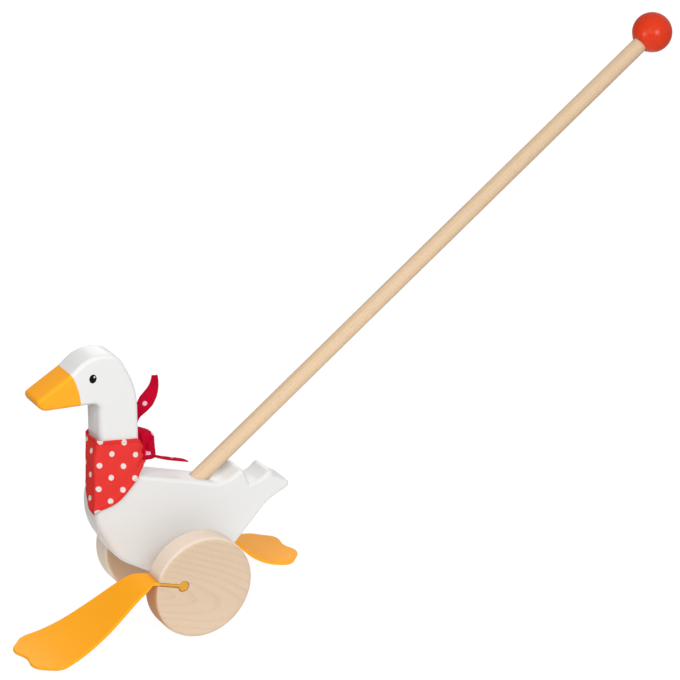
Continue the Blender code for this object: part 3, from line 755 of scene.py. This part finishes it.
def arc(centre, radius, start, end, steps):
    """Points of an arc in a turned profile, angles in degrees from the radial direction."""
    angles = [math.radians(start + (end - start) * k / steps) for k in range(steps + 1)]
    return [(centre[0] + radius * math.cos(a), centre[1] + radius * math.sin(a)) for a in angles]


def rod(radius, length, chamfer, steps=72, rounds=4):
    """A round bar along +Y from the origin, with eased ends."""
    low = arc((radius - chamfer, chamfer), chamfer, -90, 0, rounds)
    high = arc((radius - chamfer, length - chamfer), chamfer, 0, 90, rounds)
    return turned([(0, 0), *low, *high, (0, length)], steps)


def make_goose_body(finish):
    bm = rounded_board(goose_outline(), HALF_BOARD, 8, BOARD_MARGIN)
    body = make_piece("goose_board", bm, finish, Matrix.Translation(AXLE))
    reach = 2 * HALF_BOARD
    bore = rod(AXLE_RADIUS + RUNNING_GAP, 2 * reach, TOOL_CHAMFER)
    carve(body, make_piece("bore_tool", bore, place=Matrix.Translation(AXLE - Vector((0, reach, 0)))))
    socket = rod(STICK_RADIUS + SEAT_GAP, SOCKET_DEPTH + reach, TOOL_CHAMFER)
    floor = AXLE + SOCKET_MOUTH - STICK_LINE * SOCKET_DEPTH
    carve(body, make_piece("socket_tool", socket, place=on_stick(floor)))
    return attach(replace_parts(body, "goose_body"), "goose")


def on_stick(place):
    """Lays a turned piece's +Y along the stick, with its origin at this place."""
    return Matrix.Translation(place) @ STICK_LINE.to_track_quat("Y", "Z").to_matrix().to_4x4()


def make_eye(name, side, finish):
    """A drop of gloss paint: an oval dome on the board's face."""
    dome = [(out, rise * EYE_RISE) for out, rise in arc((0, 0), 1, 90, 0, 9)[1:-1]]
    bm = turned([(0, EYE_RISE), *dome, (1, -EYE_SINK), (0, -EYE_SINK)], 40)
    bmesh.ops.scale(bm, vec=(EYE_SIZE[0] / 2, side, EYE_SIZE[1] / 2), verts=bm.verts)
    place = AXLE + Vector((EYE_PLACE[0], side * HALF_BOARD, EYE_PLACE[1]))
    eye = make_piece(name, bm, finish, Matrix.Translation(place))
    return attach(eye, "goose")


def make_push_stick(finish):
    bm = rod(STICK_RADIUS, STICK_LENGTH, STICK_CHAMFER)
    stick = make_piece("dowel", bm, finish, on_stick(STICK_FOOT))
    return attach(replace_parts(stick, "push_stick"), "goose")


def make_handle_ball(finish):
    bore = STICK_RADIUS + SEAT_GAP
    mouth = bore + BALL_LIP
    mouth_angle = math.degrees(math.acos(mouth / BALL_RADIUS))
    mouth_along = -math.sqrt(BALL_RADIUS**2 - mouth**2)
    bore_floor = mouth_along + BALL_BORE_DEPTH
    profile = [
        (0, bore_floor),
        (bore, bore_floor),
        (bore, mouth_along + BALL_LIP),
        *arc((0, 0), BALL_RADIUS, -mouth_angle, 87, 48),
        (0, BALL_RADIUS),
    ]
    middle = STICK_FOOT + STICK_LINE * (STICK_LENGTH + SEAT_GAP - bore_floor)
    ball = make_piece("knob", turned(profile, 96), finish, on_stick(middle))
    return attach(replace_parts(ball, "handle_ball"), "goose")


def make_axle(finish):
    half = WHEEL_INNER + WHEEL_BORE_DEPTH - SEAT_GAP
    place = Matrix.Translation(AXLE - Vector((0, half, 0)))
    axle = make_piece("axle_dowel", rod(AXLE_RADIUS, 2 * half, AXLE_CHAMFER, 48), finish, place)
    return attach(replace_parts(axle, "axle"), "wheelset")


def on_side(turn, slot_rise=0.0):
    """From the axle's middle to one side's own directions, with +X along the wheel's slot."""
    half_turn = Matrix.Rotation(turn, 4, "Z")
    return Matrix.Translation(AXLE) @ half_turn @ Matrix.Rotation(-slot_rise, 4, "Y")


def make_spacer(side, turn, finish):
    bore = AXLE_RADIUS + SEAT_GAP
    start = HALF_BOARD + RUNNING_GAP
    end = WHEEL_INNER - SEAT_GAP
    rim = SPACER_RADIUS - SPACER_EDGE
    profile = [
        (bore, start),
        (bore, end),
        *arc((rim, end - SPACER_EDGE), SPACER_EDGE, 90, 0, 4),
        *arc((rim, start + SPACER_EDGE), SPACER_EDGE, 0, -90, 4),
    ]
    spacer = make_piece(f"{side}_sleeve", turned(profile, 56), finish, on_side(turn))
    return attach(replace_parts(spacer, f"{side}_spacer"), "wheelset")


def keyhole_tool(half_width):
    """The keyhole's cutter along +X, opened a little at both faces of the wheel."""
    layers = (
        (-half_width - SLOT_CHAMFER, 2 * SLOT_CHAMFER),
        (-half_width + SLOT_CHAMFER, 0),
        (half_width - SLOT_CHAMFER, 0),
        (half_width + SLOT_CHAMFER, 2 * SLOT_CHAMFER),
    )
    steps = 44
    end = WHEEL_RADIUS + WHEEL_EDGE
    bm = bmesh.new()
    rings = []
    for level, grow in layers:
        radius = BEAD_RADIUS + SEAT_GAP + grow
        half = FOOT_THICKNESS / 2 + SEAT_GAP + grow
        opening = math.asin(half / radius)
        angles = [opening + (2 * math.pi - 2 * opening) * k / steps for k in range(steps + 1)]
        outline = [(BEAD_OFFSET + radius * math.cos(a), radius * math.sin(a)) for a in angles]
        outline += [(end, -half), (end, half)]
        rings.append([bm.verts.new((x, level, z)) for x, z in outline])
    return skin(bm, rings)


def make_wheel(side, turn, slot_rise, finish):
    """Turned disc with a blind bore for the axle and a keyhole slot for the foot."""
    bore = AXLE_RADIUS + SEAT_GAP
    rim = WHEEL_RADIUS - WHEEL_EDGE
    profile = [
        (0, WHEEL_INNER + WHEEL_BORE_DEPTH),
        (bore, WHEEL_INNER + WHEEL_BORE_DEPTH),
        (bore, WHEEL_INNER),
        (rim - WHEEL_MARGIN, WHEEL_INNER),
        *arc((rim, WHEEL_INNER + WHEEL_EDGE), WHEEL_EDGE, -90, 0, 10),
        *arc((rim, WHEEL_OUTER - WHEEL_EDGE), WHEEL_EDGE, 0, 90, 10),
        (rim - WHEEL_MARGIN, WHEEL_OUTER),
        (0, WHEEL_OUTER),
    ]
    place = on_side(turn, slot_rise)
    wheel = make_piece(f"{side}_disc", turned(profile, 160), finish, place)
    tool = keyhole_tool(WHEEL_THICKNESS / 2)
    carve(wheel, make_piece("keyhole_tool", tool, place=place @ Matrix.Translation((0, WHEEL_MIDDLE, 0))))
    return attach(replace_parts(wheel, f"{side}_wheel"), "wheelset")


def foot_blank(bead_end):
    """Corners of the flat foot from its bead to its toe: along it from the flex line, and across."""
    root = WHEEL_THICKNESS / 2 - FOOT_INSET
    half = FOOT_WIDTH / 2
    one_side = [
        (bead_end, root, FOOT_EDGE),
        (FOOT_THICKNESS, root, FOOT_THICKNESS),
        (FOOT_SHOULDER_AT, FOOT_SHOULDER / 2, FOOT_SHOULDER / 2),
        (FOOT_FLARE_AT, FOOT_FLARE / 2, FOOT_LENGTH),
        (FOOT_LENGTH - FOOT_BALL_BACK, half, FOOT_LOBE_RADIUS),
        (FOOT_LENGTH + FOOT_LOBE, half / 2, FOOT_LOBE_RADIUS),
    ]
    other_side = [(along, -across, radius) for along, across, radius in one_side]
    return [*other_side, (FOOT_LENGTH, 0, FOOT_NOTCH_RADIUS), *one_side[::-1]]


def droop_curve(droop, slot_rise, samples=400):
    """The foot's hanging line from the flex line: points, and the length along it to each."""
    reach, drop, arch, toe_run, toe_slope = droop
    leave = arch * np.array([math.cos(slot_rise), math.sin(slot_rise)])
    end = np.array([reach, drop])
    arrive = end - toe_run * np.array([math.cos(toe_slope), math.sin(toe_slope)])
    t = np.linspace(0, 1, samples)[:, None]
    points = 3 * (1 - t) ** 2 * t * leave + 3 * (1 - t) * t**2 * arrive + t**3 * end
    lengths = np.concatenate([[0], np.cumsum(np.hypot(*np.diff(points, axis=0).T))])
    return points, lengths


def bend_foot(along, across, up, curve):
    """Lays a point of the flat foot on its hanging line, which runs on straight past both ends."""
    points, lengths = curve
    share = max(0, along) / FOOT_LENGTH
    along -= across * math.tan(FOOT_TOE_SLANT) * share
    i = int(np.clip(np.searchsorted(lengths, along), 1, len(lengths) - 1))
    way = (points[i] - points[i - 1]) / (lengths[i] - lengths[i - 1])
    place = points[i - 1] + way * (along - lengths[i - 1])
    toe_out = math.tan(FOOT_TOE_OUT) * share * FOOT_LENGTH
    return Vector((place[0] - way[1] * up, across + toe_out, place[1] + way[0] * up))


def score(bm, cuts, direction):
    """Cuts the mesh into strips across this direction."""
    for cut in cuts:
        geom = [*bm.verts, *bm.edges, *bm.faces]
        place = Vector(direction) * cut
        bmesh.ops.bisect_plane(bm, geom=geom, dist=0.001 * MM, plane_co=place, plane_no=direction)


def make_foot(side, turn, flex, droop, finish):
    """Flipper in one piece: the bead and the tongue in the wheel, and the drooping sheet outside."""
    slot_rise = math.atan2(flex.z, flex.x)
    half = FOOT_THICKNESS / 2
    bead = BEAD_OFFSET - flex.xz.length
    bead_end = bead - BEAD_FLAT * BEAD_RADIUS
    points, inward = rounded_outline(foot_blank(bead_end))
    bm = rounded_board((points, inward, [FOOT_EDGE] * len(points)), half, 4, FOOT_MARGIN)
    bead_cuts = [bead - BEAD_RADIUS * math.cos(math.pi * k / 18) for k in range(2, 18)]
    sheet_cuts = [FOOT_LENGTH * k / 44 for k in range(-6, 46)]
    score(bm, bead_cuts + sheet_cuts, (1, 0, 0))
    curve = droop_curve(droop, slot_rise)
    hinge = Vector((flex.x, WHEEL_MIDDLE, flex.z))
    for vert in bm.verts:
        along, up, across = vert.co
        round_half = math.sqrt(max(0, BEAD_RADIUS**2 - (along - bead) ** 2))
        if along < bead + BEAD_RADIUS:
            up *= max(round_half, half if along > bead else 0) / half
        vert.co = hinge + bend_foot(along, across, up, curve)
    foot = make_piece(f"{side}_flipper", bm, finish, on_side(turn))
    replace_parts(foot, f"{side}_foot", f"{side}_foot_root")
    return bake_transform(foot)


def board_front(outline, height):
    """How far forward the neck or the breast reaches at this height above the axle."""
    crossings = []
    for a, b in zip(outline, outline[1:] + outline[:1]):
        if (a.y - height) * (b.y - height) < 0:
            crossings.append(a.x + (b.x - a.x) * (height - a.y) / (b.y - a.y))
    return max(crossings)


def blank_grids(rows, columns):
    """Grids to fill for a sheet: its points, and their charts in the print and from the edge."""
    return (np.zeros((rows + 1, columns + 1, size)) for size in (3, 2, 2))


def hemmed(edges):
    """The cloth's thickness over a sheet, fuller towards its turned hem."""
    hem = np.clip(1 - edges[..., 1] / HEM_WIDTH, 0, 1)
    return CLOTH_THICKNESS + HEM_SWELL * np.sqrt(hem)


def cloth_sheet(name, middle, thickness, prints, edges, finish):
    """A closed sheet of cloth from a grid of its middle surface, with rounded edges and two charts."""
    rows, columns, _ = middle.shape
    facing = np.cross(np.gradient(middle, axis=1), np.gradient(middle, axis=0))
    facing /= np.linalg.norm(facing, axis=2, keepdims=True)
    half = facing * np.asarray(thickness)[..., None] / 2
    grid = np.arange(rows * columns).reshape(rows, columns)
    border = np.concatenate([grid[0, :-1], grid[:-1, -1], grid[-1, :0:-1], grid[:0:-1, 0]])
    row, column = (np.clip(np.arange(count), 1, count - 2) for count in (rows, columns))
    outward = (middle - middle[row[:, None], column[None, :]]).reshape(-1, 3)[border]
    outward /= np.linalg.norm(outward, axis=1, keepdims=True)
    rim = middle.reshape(-1, 3)[border] + outward * np.linalg.norm(half, axis=2).reshape(-1, 1)[border]
    points = np.concatenate([(middle + half).reshape(-1, 3), (middle - half).reshape(-1, 3), rim])
    back = rows * columns
    quads = np.stack([grid[:-1, :-1], grid[:-1, 1:], grid[1:, 1:], grid[1:, :-1]], -1).reshape(-1, 4)
    faces = [*quads.tolist(), *(quads[:, ::-1] + back).tolist()]
    for k in range(len(border)):
        m = (k + 1) % len(border)
        faces.append((border[k], border[m], 2 * back + m, 2 * back + k))
        faces.append((2 * back + k, 2 * back + m, border[m] + back, border[k] + back))
    mesh = bpy.data.meshes.new(name)
    mesh.from_pydata(points.tolist(), [], [[int(i) for i in face] for face in faces])
    corners = np.zeros(len(mesh.loops), np.int32)
    mesh.loops.foreach_get("vertex_index", corners)
    for chart, values in (("print", prints), ("edge", edges)):
        flat = values.reshape(-1, 2)
        every = np.concatenate([flat, flat, flat[border]])
        mesh.uv_layers.new(name=chart).data.foreach_set("uv", every[corners].astype(np.float32).ravel())
    bm = bmesh.new()
    bm.from_mesh(mesh)
    bpy.data.meshes.remove(mesh)
    return make_piece(name, bm, finish)


def dots_at(places):
    """Charts points of the wrap, forward and up, in steps and rows of the print."""
    steps = np.linalg.inv(np.stack([DOT_STEP, ROW_STEP], 1))
    return (places - DOT_PLACE) @ steps.T


def eased(table, places):
    """Heights along the wrap, with the corners between the given places softened."""
    at, heights = zip(*table)
    spread = np.linspace(-HEIGHT_EASE, HEIGHT_EASE, 9)
    heights = np.array(heights) * MM
    return np.mean([np.interp(places + shift, at, heights) for shift in spread], axis=0)


def wrap_point(side, share, front, ahead, turn):
    """A point of the wrap in plan at one height, its way out, and how far round it lies.

    front is how far forward the board reaches there and ahead how far the cloth hangs before it.
    The front turns back to the right side at turn.
    """
    wide = HALF_BOARD + CLOTH_LIFT
    flat_end, inner, back = ahead - FRONT_FOLD, wide - FRONT_FOLD, front - RIGHT_TURN
    bend = np.array([ahead - back, wide + turn])
    fold_run = flat_end + FRONT_FOLD * math.pi / 2
    right_run = fold_run + inner - turn + math.pi / 2 * np.hypot(*bend) / math.sqrt(2) + back
    if side == "left":
        x = FUNNEL_START[0] + (flat_end - FUNNEL_START[0]) * share
        return np.array([x, wide]), np.array([0, 1]), x
    if side == "left edge":
        angle = math.pi / 2 * (1 - share)
        out = np.array([math.cos(angle), math.sin(angle)])
        return np.array([flat_end, inner]) + FRONT_FOLD * out, out, flat_end + (fold_run - flat_end) * share
    if side == "front":
        across = inner + (turn - inner) * share
        return np.array([ahead, across]), np.array([1, 0]), fold_run + inner - across
    if side == "right edge":
        angle = math.pi / 2 * share
        round_way = np.array([math.cos(angle), -math.sin(angle)])
        out = round_way / bend
        start = fold_run + inner - turn
        point = np.array([back, turn]) + bend * round_way
        return point, out / np.hypot(*out), start + (right_run - back - start) * share
    if side == "right":
        x = back + (FUNNEL_START[0] - back) * share
        return np.array([x, -wide]), np.array([0, -1]), right_run - x
    mirror = 1 if side == "left funnel" else -1
    near = share if mirror == 1 else 1 - share
    bends = (FUNNEL_END, FUNNEL_TURN, FUNNEL_START)
    end, turning, start = (np.array([x, y + CLOTH_LIFT]) for x, y in bends)
    point = (1 - near) ** 2 * end + 2 * near * (1 - near) * turning + near**2 * start
    way = (1 - near) * (turning - end) + near * (start - turning)
    out = np.array([-way[1], way[0] * mirror]) / np.hypot(*way)
    x = FUNNEL_START[0] - np.hypot(*(start - point))
    return np.array([point[0], point[1] * mirror]), out, x if mirror == 1 else right_run - x


def wrap_fold(place, row):
    """How far the cloth stands off, along the wrap and up it: gathers, a crease, a loose hem."""
    from_knot = min(place, len(WRAP_SIDES) - place)
    wave = math.sin(2 * math.pi * (2.4 * row + 0.15 * from_knot + 0.1))
    gather = math.exp(-((from_knot / 1.05) ** 2)) * wave
    crease_at = 1.47 + 0.12 * row
    crease = math.exp(-(((from_knot - crease_at) / 0.11) ** 2)) * row**1.5
    loose = (1 - row) ** 3 * (0.5 + 0.5 * math.sin(5.2 * place + 0.8))
    return GATHER_RISE * gather - CREASE_DEPTH * crease + HEM_SLACK * loose


def make_wrap(finish):
    """The cloth round the neck and over the breast, gathered into the knot behind."""
    outline, _, _ = goose_outline()
    columns = [(n, side, k / count) for n, (side, count) in enumerate(WRAP_SIDES) for k in range(count)]
    columns.append((len(WRAP_SIDES) - 1, WRAP_SIDES[-1][0], 1.0))
    places = np.array([n + share for n, _, share in columns])
    hems, tops = eased(HEM_HEIGHTS, places), eased(TOP_HEIGHTS, places)
    middle, prints, edges = blank_grids(WRAP_ROWS, len(columns) - 1)
    for r in range(WRAP_ROWS + 1):
        row = r / WRAP_ROWS
        for c, (_, side, share) in enumerate(columns):
            height = hems[c] + (tops[c] - hems[c]) * row
            front = board_front(outline, height)
            ahead = max(front + CLOTH_LIFT, np.interp(height, *zip(*FRONT_HANG)))
            turn = np.interp(height, *zip(*FRONT_TURN))
            point, out, run = wrap_point(side, share, front, ahead, turn)
            point = point + out * max(-FOLD_SINK, wrap_fold(places[c], row))
            middle[r, c] = (point[0], point[1], AXLE.z + height)
            slant = FRONT_PRINT_RISE * max(0, run - (ahead - FRONT_FOLD) - FRONT_PRINT_START)
            prints[r, c] = (run, height + slant)
            edges[r, c] = (run, min(height - hems[c], tops[c] - height))
    return cloth_sheet("neckerchief", middle, hemmed(edges), dots_at(prints), edges, finish)


def squared(angle, power):
    """Cosine and sine of an angle on a circle that is squared off by this power."""
    cos, sin = math.cos(angle), math.sin(angle)
    reach = (abs(cos) ** power + abs(sin) ** power) ** (-1 / power)
    return reach * cos, reach * sin


def make_knot(finish):
    """The bundle inside the knot: a squarish pillow of cloth, pleated at its ends."""
    rings, steps = 44, 88
    bm = bmesh.new()
    chart = bm.loops.layers.uv.new("print")
    edge = bm.loops.layers.uv.new("edge")
    loops = []
    for r in range(rings + 1):
        end, ring = squared(math.pi * (0.012 + 0.976 * r / rings), 6)
        loop = []
        for k in range(steps):
            a = 2 * math.pi * k / steps
            cos, sin = squared(a, 9)
            pleat = KNOT_PLEAT_DEPTH * abs(end) * math.cos(KNOT_PLEATS * a + 1.5)
            swell = 1 + pleat + KNOT_BULGE * math.cos(3 * a + 1)
            x, z = KNOT_HALF[0] * ring * swell * cos, KNOT_HALF[2] * ring * swell * sin
            crease = KNOT_CREASE * math.exp(-(((x + 0.25 * z) / KNOT_CREASE_WIDTH) ** 2))
            fold = crease + KNOT_CRUMPLE * math.sin(KNOT_WAVES[0] * x + KNOT_WAVES[1] * z)
            y = KNOT_HALF[1] * end - math.copysign(fold * end * end, end)
            ear = KNOT_EAR * max(0, cos) ** 4 * max(0, sin) ** 4
            loop.append(bm.verts.new(KNOT_MIDDLE + Vector((x, y, z + ear + KNOT_SLOPE * x * max(0, sin)))))
        loops.append(loop)
    skin(bm, loops)
    for face in bm.faces:
        for corner in face.loops:
            away = corner.vert.co - KNOT_MIDDLE - Vector(KNOT_DOT)
            corner[chart].uv = ((0.8 * away.x + 0.45 * away.y) / DOT_STEP[0], 2 * away.z / DOT_STEP[0])
            corner[edge].uv = (away.z, NO_HEM)
    return make_piece("knot_bundle", bm, finish)


def make_strap(finish):
    """The turn of cloth that ties the knot: a soft band round the bundle."""
    rows, columns = 96, 18
    middle, prints, edges = blank_grids(rows, columns)
    edges[:] = NO_HEM
    for r in range(rows + 1):
        a = 2 * math.pi * (r / rows * 0.98 + 0.01)
        cos, sin = squared(a, 10)
        for c in range(columns + 1):
            s = 2 * c / columns - 1
            groove = STRAP_GROOVE * math.cos(2.6 * math.pi * s + 0.9 * math.sin(a)) - STRAP_ROUND * s**4
            x = (STRAP_HALF[0] + groove) * cos
            z = (STRAP_HALF[1] + groove) * sin
            narrow = 1 - STRAP_WAIST * math.exp(-((math.sin(a) / 0.35) ** 2))
            y = s * STRAP_WIDTH / 2 * narrow + STRAP_SKEW * math.sin(2 * a)
            middle[r, c] = KNOT_MIDDLE + Vector((x, y, z + KNOT_SLOPE * x * max(0, sin)))
            prints[r, c] = (y / DOT_STEP[0] + 0.4, a * STRAP_HALF[1] / DOT_STEP[0] * 2 + 0.35)
    thickness = np.full(middle.shape[:2], STRAP_THICKNESS)
    return cloth_sheet("knot_strap", middle, thickness, prints, edges, finish)


def make_tail(name, curve, widths, facing, bow, dot_run, finish):
    """A loose end of the cloth, from the knot along a cubic curve, and bowed across."""
    points = np.array([np.array(TAILS_START) + np.array(p) for p in curve])
    ways = np.diff(points, axis=0)
    rows, columns = 44, 14
    middle, prints, edges = blank_grids(rows, columns)
    run, before = 0.0, points[0]
    for r in range(rows + 1):
        t = r / rows
        u = 1 - t
        here = u**3 * points[0] + 3 * u * u * t * points[1] + 3 * u * t * t * points[2] + t**3 * points[3]
        way = u * u * ways[0] + 2 * u * t * ways[1] + t * t * ways[2]
        run += np.linalg.norm(here - before)
        before = here
        side = np.cross(facing, way)
        side /= np.linalg.norm(side)
        out = np.cross(way, side)
        out /= np.linalg.norm(out)
        width = np.interp(t, np.linspace(0, 1, len(widths)), widths)
        for c in range(columns + 1):
            s = 2 * c / columns - 1
            across, along = s * width / 2, run - dot_run
            lift = bow * width * (1 - s * s) + TAIL_RIPPLE * math.sin(3.5 * math.pi * s + 5 * t)
            middle[r, c] = here + side * across + out * lift
            step = across * math.cos(TAIL_PRINT_TURN) + along * math.sin(TAIL_PRINT_TURN)
            row = along * math.cos(TAIL_PRINT_TURN) - across * math.sin(TAIL_PRINT_TURN)
            prints[r, c] = (step / DOT_STEP[0], 2 * row / DOT_STEP[0])
            edges[r, c] = (run, (1 - abs(s)) * width / 2)
    return cloth_sheet(name, middle, hemmed(edges), prints, edges, finish)


def make_scarf():
    """Neckerchief: wrap, knot and two tails, cut from one square of cloth folded corner to corner."""
    wrap = make_wrap(dotted_cloth("dotted cloth", CLOTH_TONES, CLOTH_DOTS))
    # Knot and tails: the wrong side, its deeper and darker red being painted shade
    finish = dotted_cloth("dotted cloth, wrong side, painted shade", SHADED_BACK_TONES, BACK_DOTS, BACK_DOT_RADIUS)
    bundle = make_knot(finish)
    strap = make_strap(finish)
    upper = make_tail("upper_tail", *UPPER_TAIL, finish)
    lower = make_tail("lower_tail", *LOWER_TAIL, finish)
    for cloth in (wrap, bundle, strap, upper, lower):
        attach(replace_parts(cloth, "scarf"), "goose")


def make_camera():
    right = Vector((math.cos(CAMERA_TURN), math.sin(CAMERA_TURN), 0))
    level = math.cos(CAMERA_LIFT)
    back = Vector((math.sin(CAMERA_TURN) * level, -math.cos(CAMERA_TURN) * level, math.sin(CAMERA_LIFT)))
    up = back.cross(right)
    camera = bpy.data.objects.new("camera", bpy.data.cameras.new("camera"))
    bpy.context.scene.collection.objects.link(camera)
    turn = Matrix((right, up, back)).transposed().to_4x4()
    eye = AXLE + AIM_RIGHT * right + AIM_UP * up + CAMERA_DISTANCE * back
    camera.matrix_world = Matrix.Translation(eye) @ turn
    camera.data.sensor_width = SENSOR_WIDTH
    camera.data.lens = FOCAL_PIXELS / PICTURE_WIDTH * SENSOR_WIDTH
    bpy.context.scene.camera = camera
    bpy.context.view_layer.update()
    return camera


def add_softbox(name, place, size, light):
    """A round softbox aimed at the toy; light 1 is as much as an all-white room throws that way."""
    lamp = bpy.data.lights.new(name, "AREA")
    lamp.shape = "DISK"
    lamp.size = size
    way = Vector(place) - TOY_MIDDLE
    lamp.energy = light * (math.pi * way.length) ** 2
    softbox = bpy.data.objects.new(name, lamp)
    bpy.context.scene.collection.objects.link(softbox)
    softbox.matrix_world = Matrix.Translation(place) @ way.to_track_quat("Z", "Y").to_matrix().to_4x4()
    return softbox


def make_world():
    """A room that is brightest behind the goose and above it."""
    world = bpy.data.worlds.new("studio")
    world.use_nodes = True
    room = Nodes(world.node_tree)
    toward = room.dot(room.node("ShaderNodeTexCoord", out="Generated"), ROOM_BRIGHT_WAY)
    low, high = ROOM_LIGHT
    sockets = {"Value": toward, "From Min": -1, "To Min": low, "To Max": high}
    background = world.node_tree.nodes["Background"].inputs
    room.feed(background["Strength"], room.node("ShaderNodeMapRange", None, sockets))
    room.feed(background["Color"], (1, 1, 1, 1))
    bpy.context.scene.world = world


def screen(name, piece, state):
    """Cards round a softbox: its light falls on this piece alone (INCLUDE) or not at all (EXCLUDE)."""
    screened = bpy.data.collections.new(f"{name} screen")
    screened.objects.link(piece)
    bpy.data.objects[name].light_linking.receiver_collection = screened
    screened.collection_objects[0].light_linking.link_state = state


def seen_floor(camera, margin):
    """Corners of the floor that the camera sees, with a margin round the picture."""
    half = (0.5 + margin) * camera.data.sensor_width / camera.data.lens
    eye, turn = camera.matrix_world.translation, camera.matrix_world.to_3x3()
    ways = [turn @ Vector((x * half, y * half, -1)) for x, y in ((-1, -1), (1, -1), (1, 1), (-1, 1))]
    return [eye - way * (eye.z / way.z) for way in ways]


def floor_sheet(name, finish, drop):
    bm = bmesh.new()
    bmesh.ops.create_grid(bm, x_segments=8, y_segments=8, size=FLOOR_HALF)
    sheet = make_piece(name, bm, finish, Matrix.Translation((0, 0, -drop)))
    return sheet


def make_studio(camera):
    """A white floor that the camera alone sees, what throws light up at the toy, and softboxes.

    The picture's part of the floor glows under the toy, and the rest throws back less light.
    """
    seen = floor_sheet("studio_floor", white_floor(), 0)
    seen.visible_diffuse = seen.visible_glossy = seen.visible_shadow = False
    bounce = floor_sheet("floor_bounce", matt_floor("pale floor", FLOOR_TONES), BOUNCE_DROP)
    bm = bmesh.new()
    bm.faces.new([bm.verts.new(corner) for corner in seen_floor(camera, PAPER_MARGIN)])
    glowing = matt_floor("lit paper", PAPER_TONES, glow=PAPER_GLOW)
    paper = make_piece("paper", bm, glowing, Matrix.Translation((0, 0, -BOUNCE_DROP / 2)))
    bounce.visible_camera = paper.visible_camera = False
    make_world()
    for softbox in SOFTBOXES:
        add_softbox(*softbox).visible_glossy = softbox[0] == "behind"
    for lamp in GLOSS_LAMPS:
        add_softbox(*lamp).visible_diffuse = False
    bpy.context.scene.view_settings.view_transform = "Standard"


def main():
    make_studio(make_camera())
    make_goose_body(white_and_beak_paint())
    eye = eye_paint()
    make_eye("left_eye", 1, eye)
    make_eye("right_eye", -1, eye)
    level = Vector((0, 1, 0))
    stick_wood = (STICK_PITH, STICK_YEAR, STICK_LEAN, STICK_TONES)
    make_push_stick(beech("stick beech", AXLE, STICK_LINE, level, *stick_wood))
    ball = make_handle_ball(red_paint())
    screen("behind", ball, "EXCLUDE")
    for lamp in GLOSS_LAMPS:
        screen(lamp[0], ball, "INCLUDE")
    dowel_beech = beech("dowel beech", AXLE, level, Vector((0, 0, 1)), DOWEL_PITH, DOWEL_YEAR)
    make_axle(dowel_beech)
    make_scarf()
    rubber = orange_rubber()
    for side, turn, droop, pith, year, lean in SIDES:
        flex = Matrix.Rotation(-turn, 3, "Z") @ (joint_place(f"{side}_foot_flex") - AXLE)
        slot_rise = math.atan2(flex.z, flex.x)
        make_spacer(side, turn, dowel_beech)
        make_wheel(side, turn, slot_rise, wheel_beech(side, turn, slot_rise, pith, year, lean))
        make_foot(side, turn, flex, droop, rubber)


main()
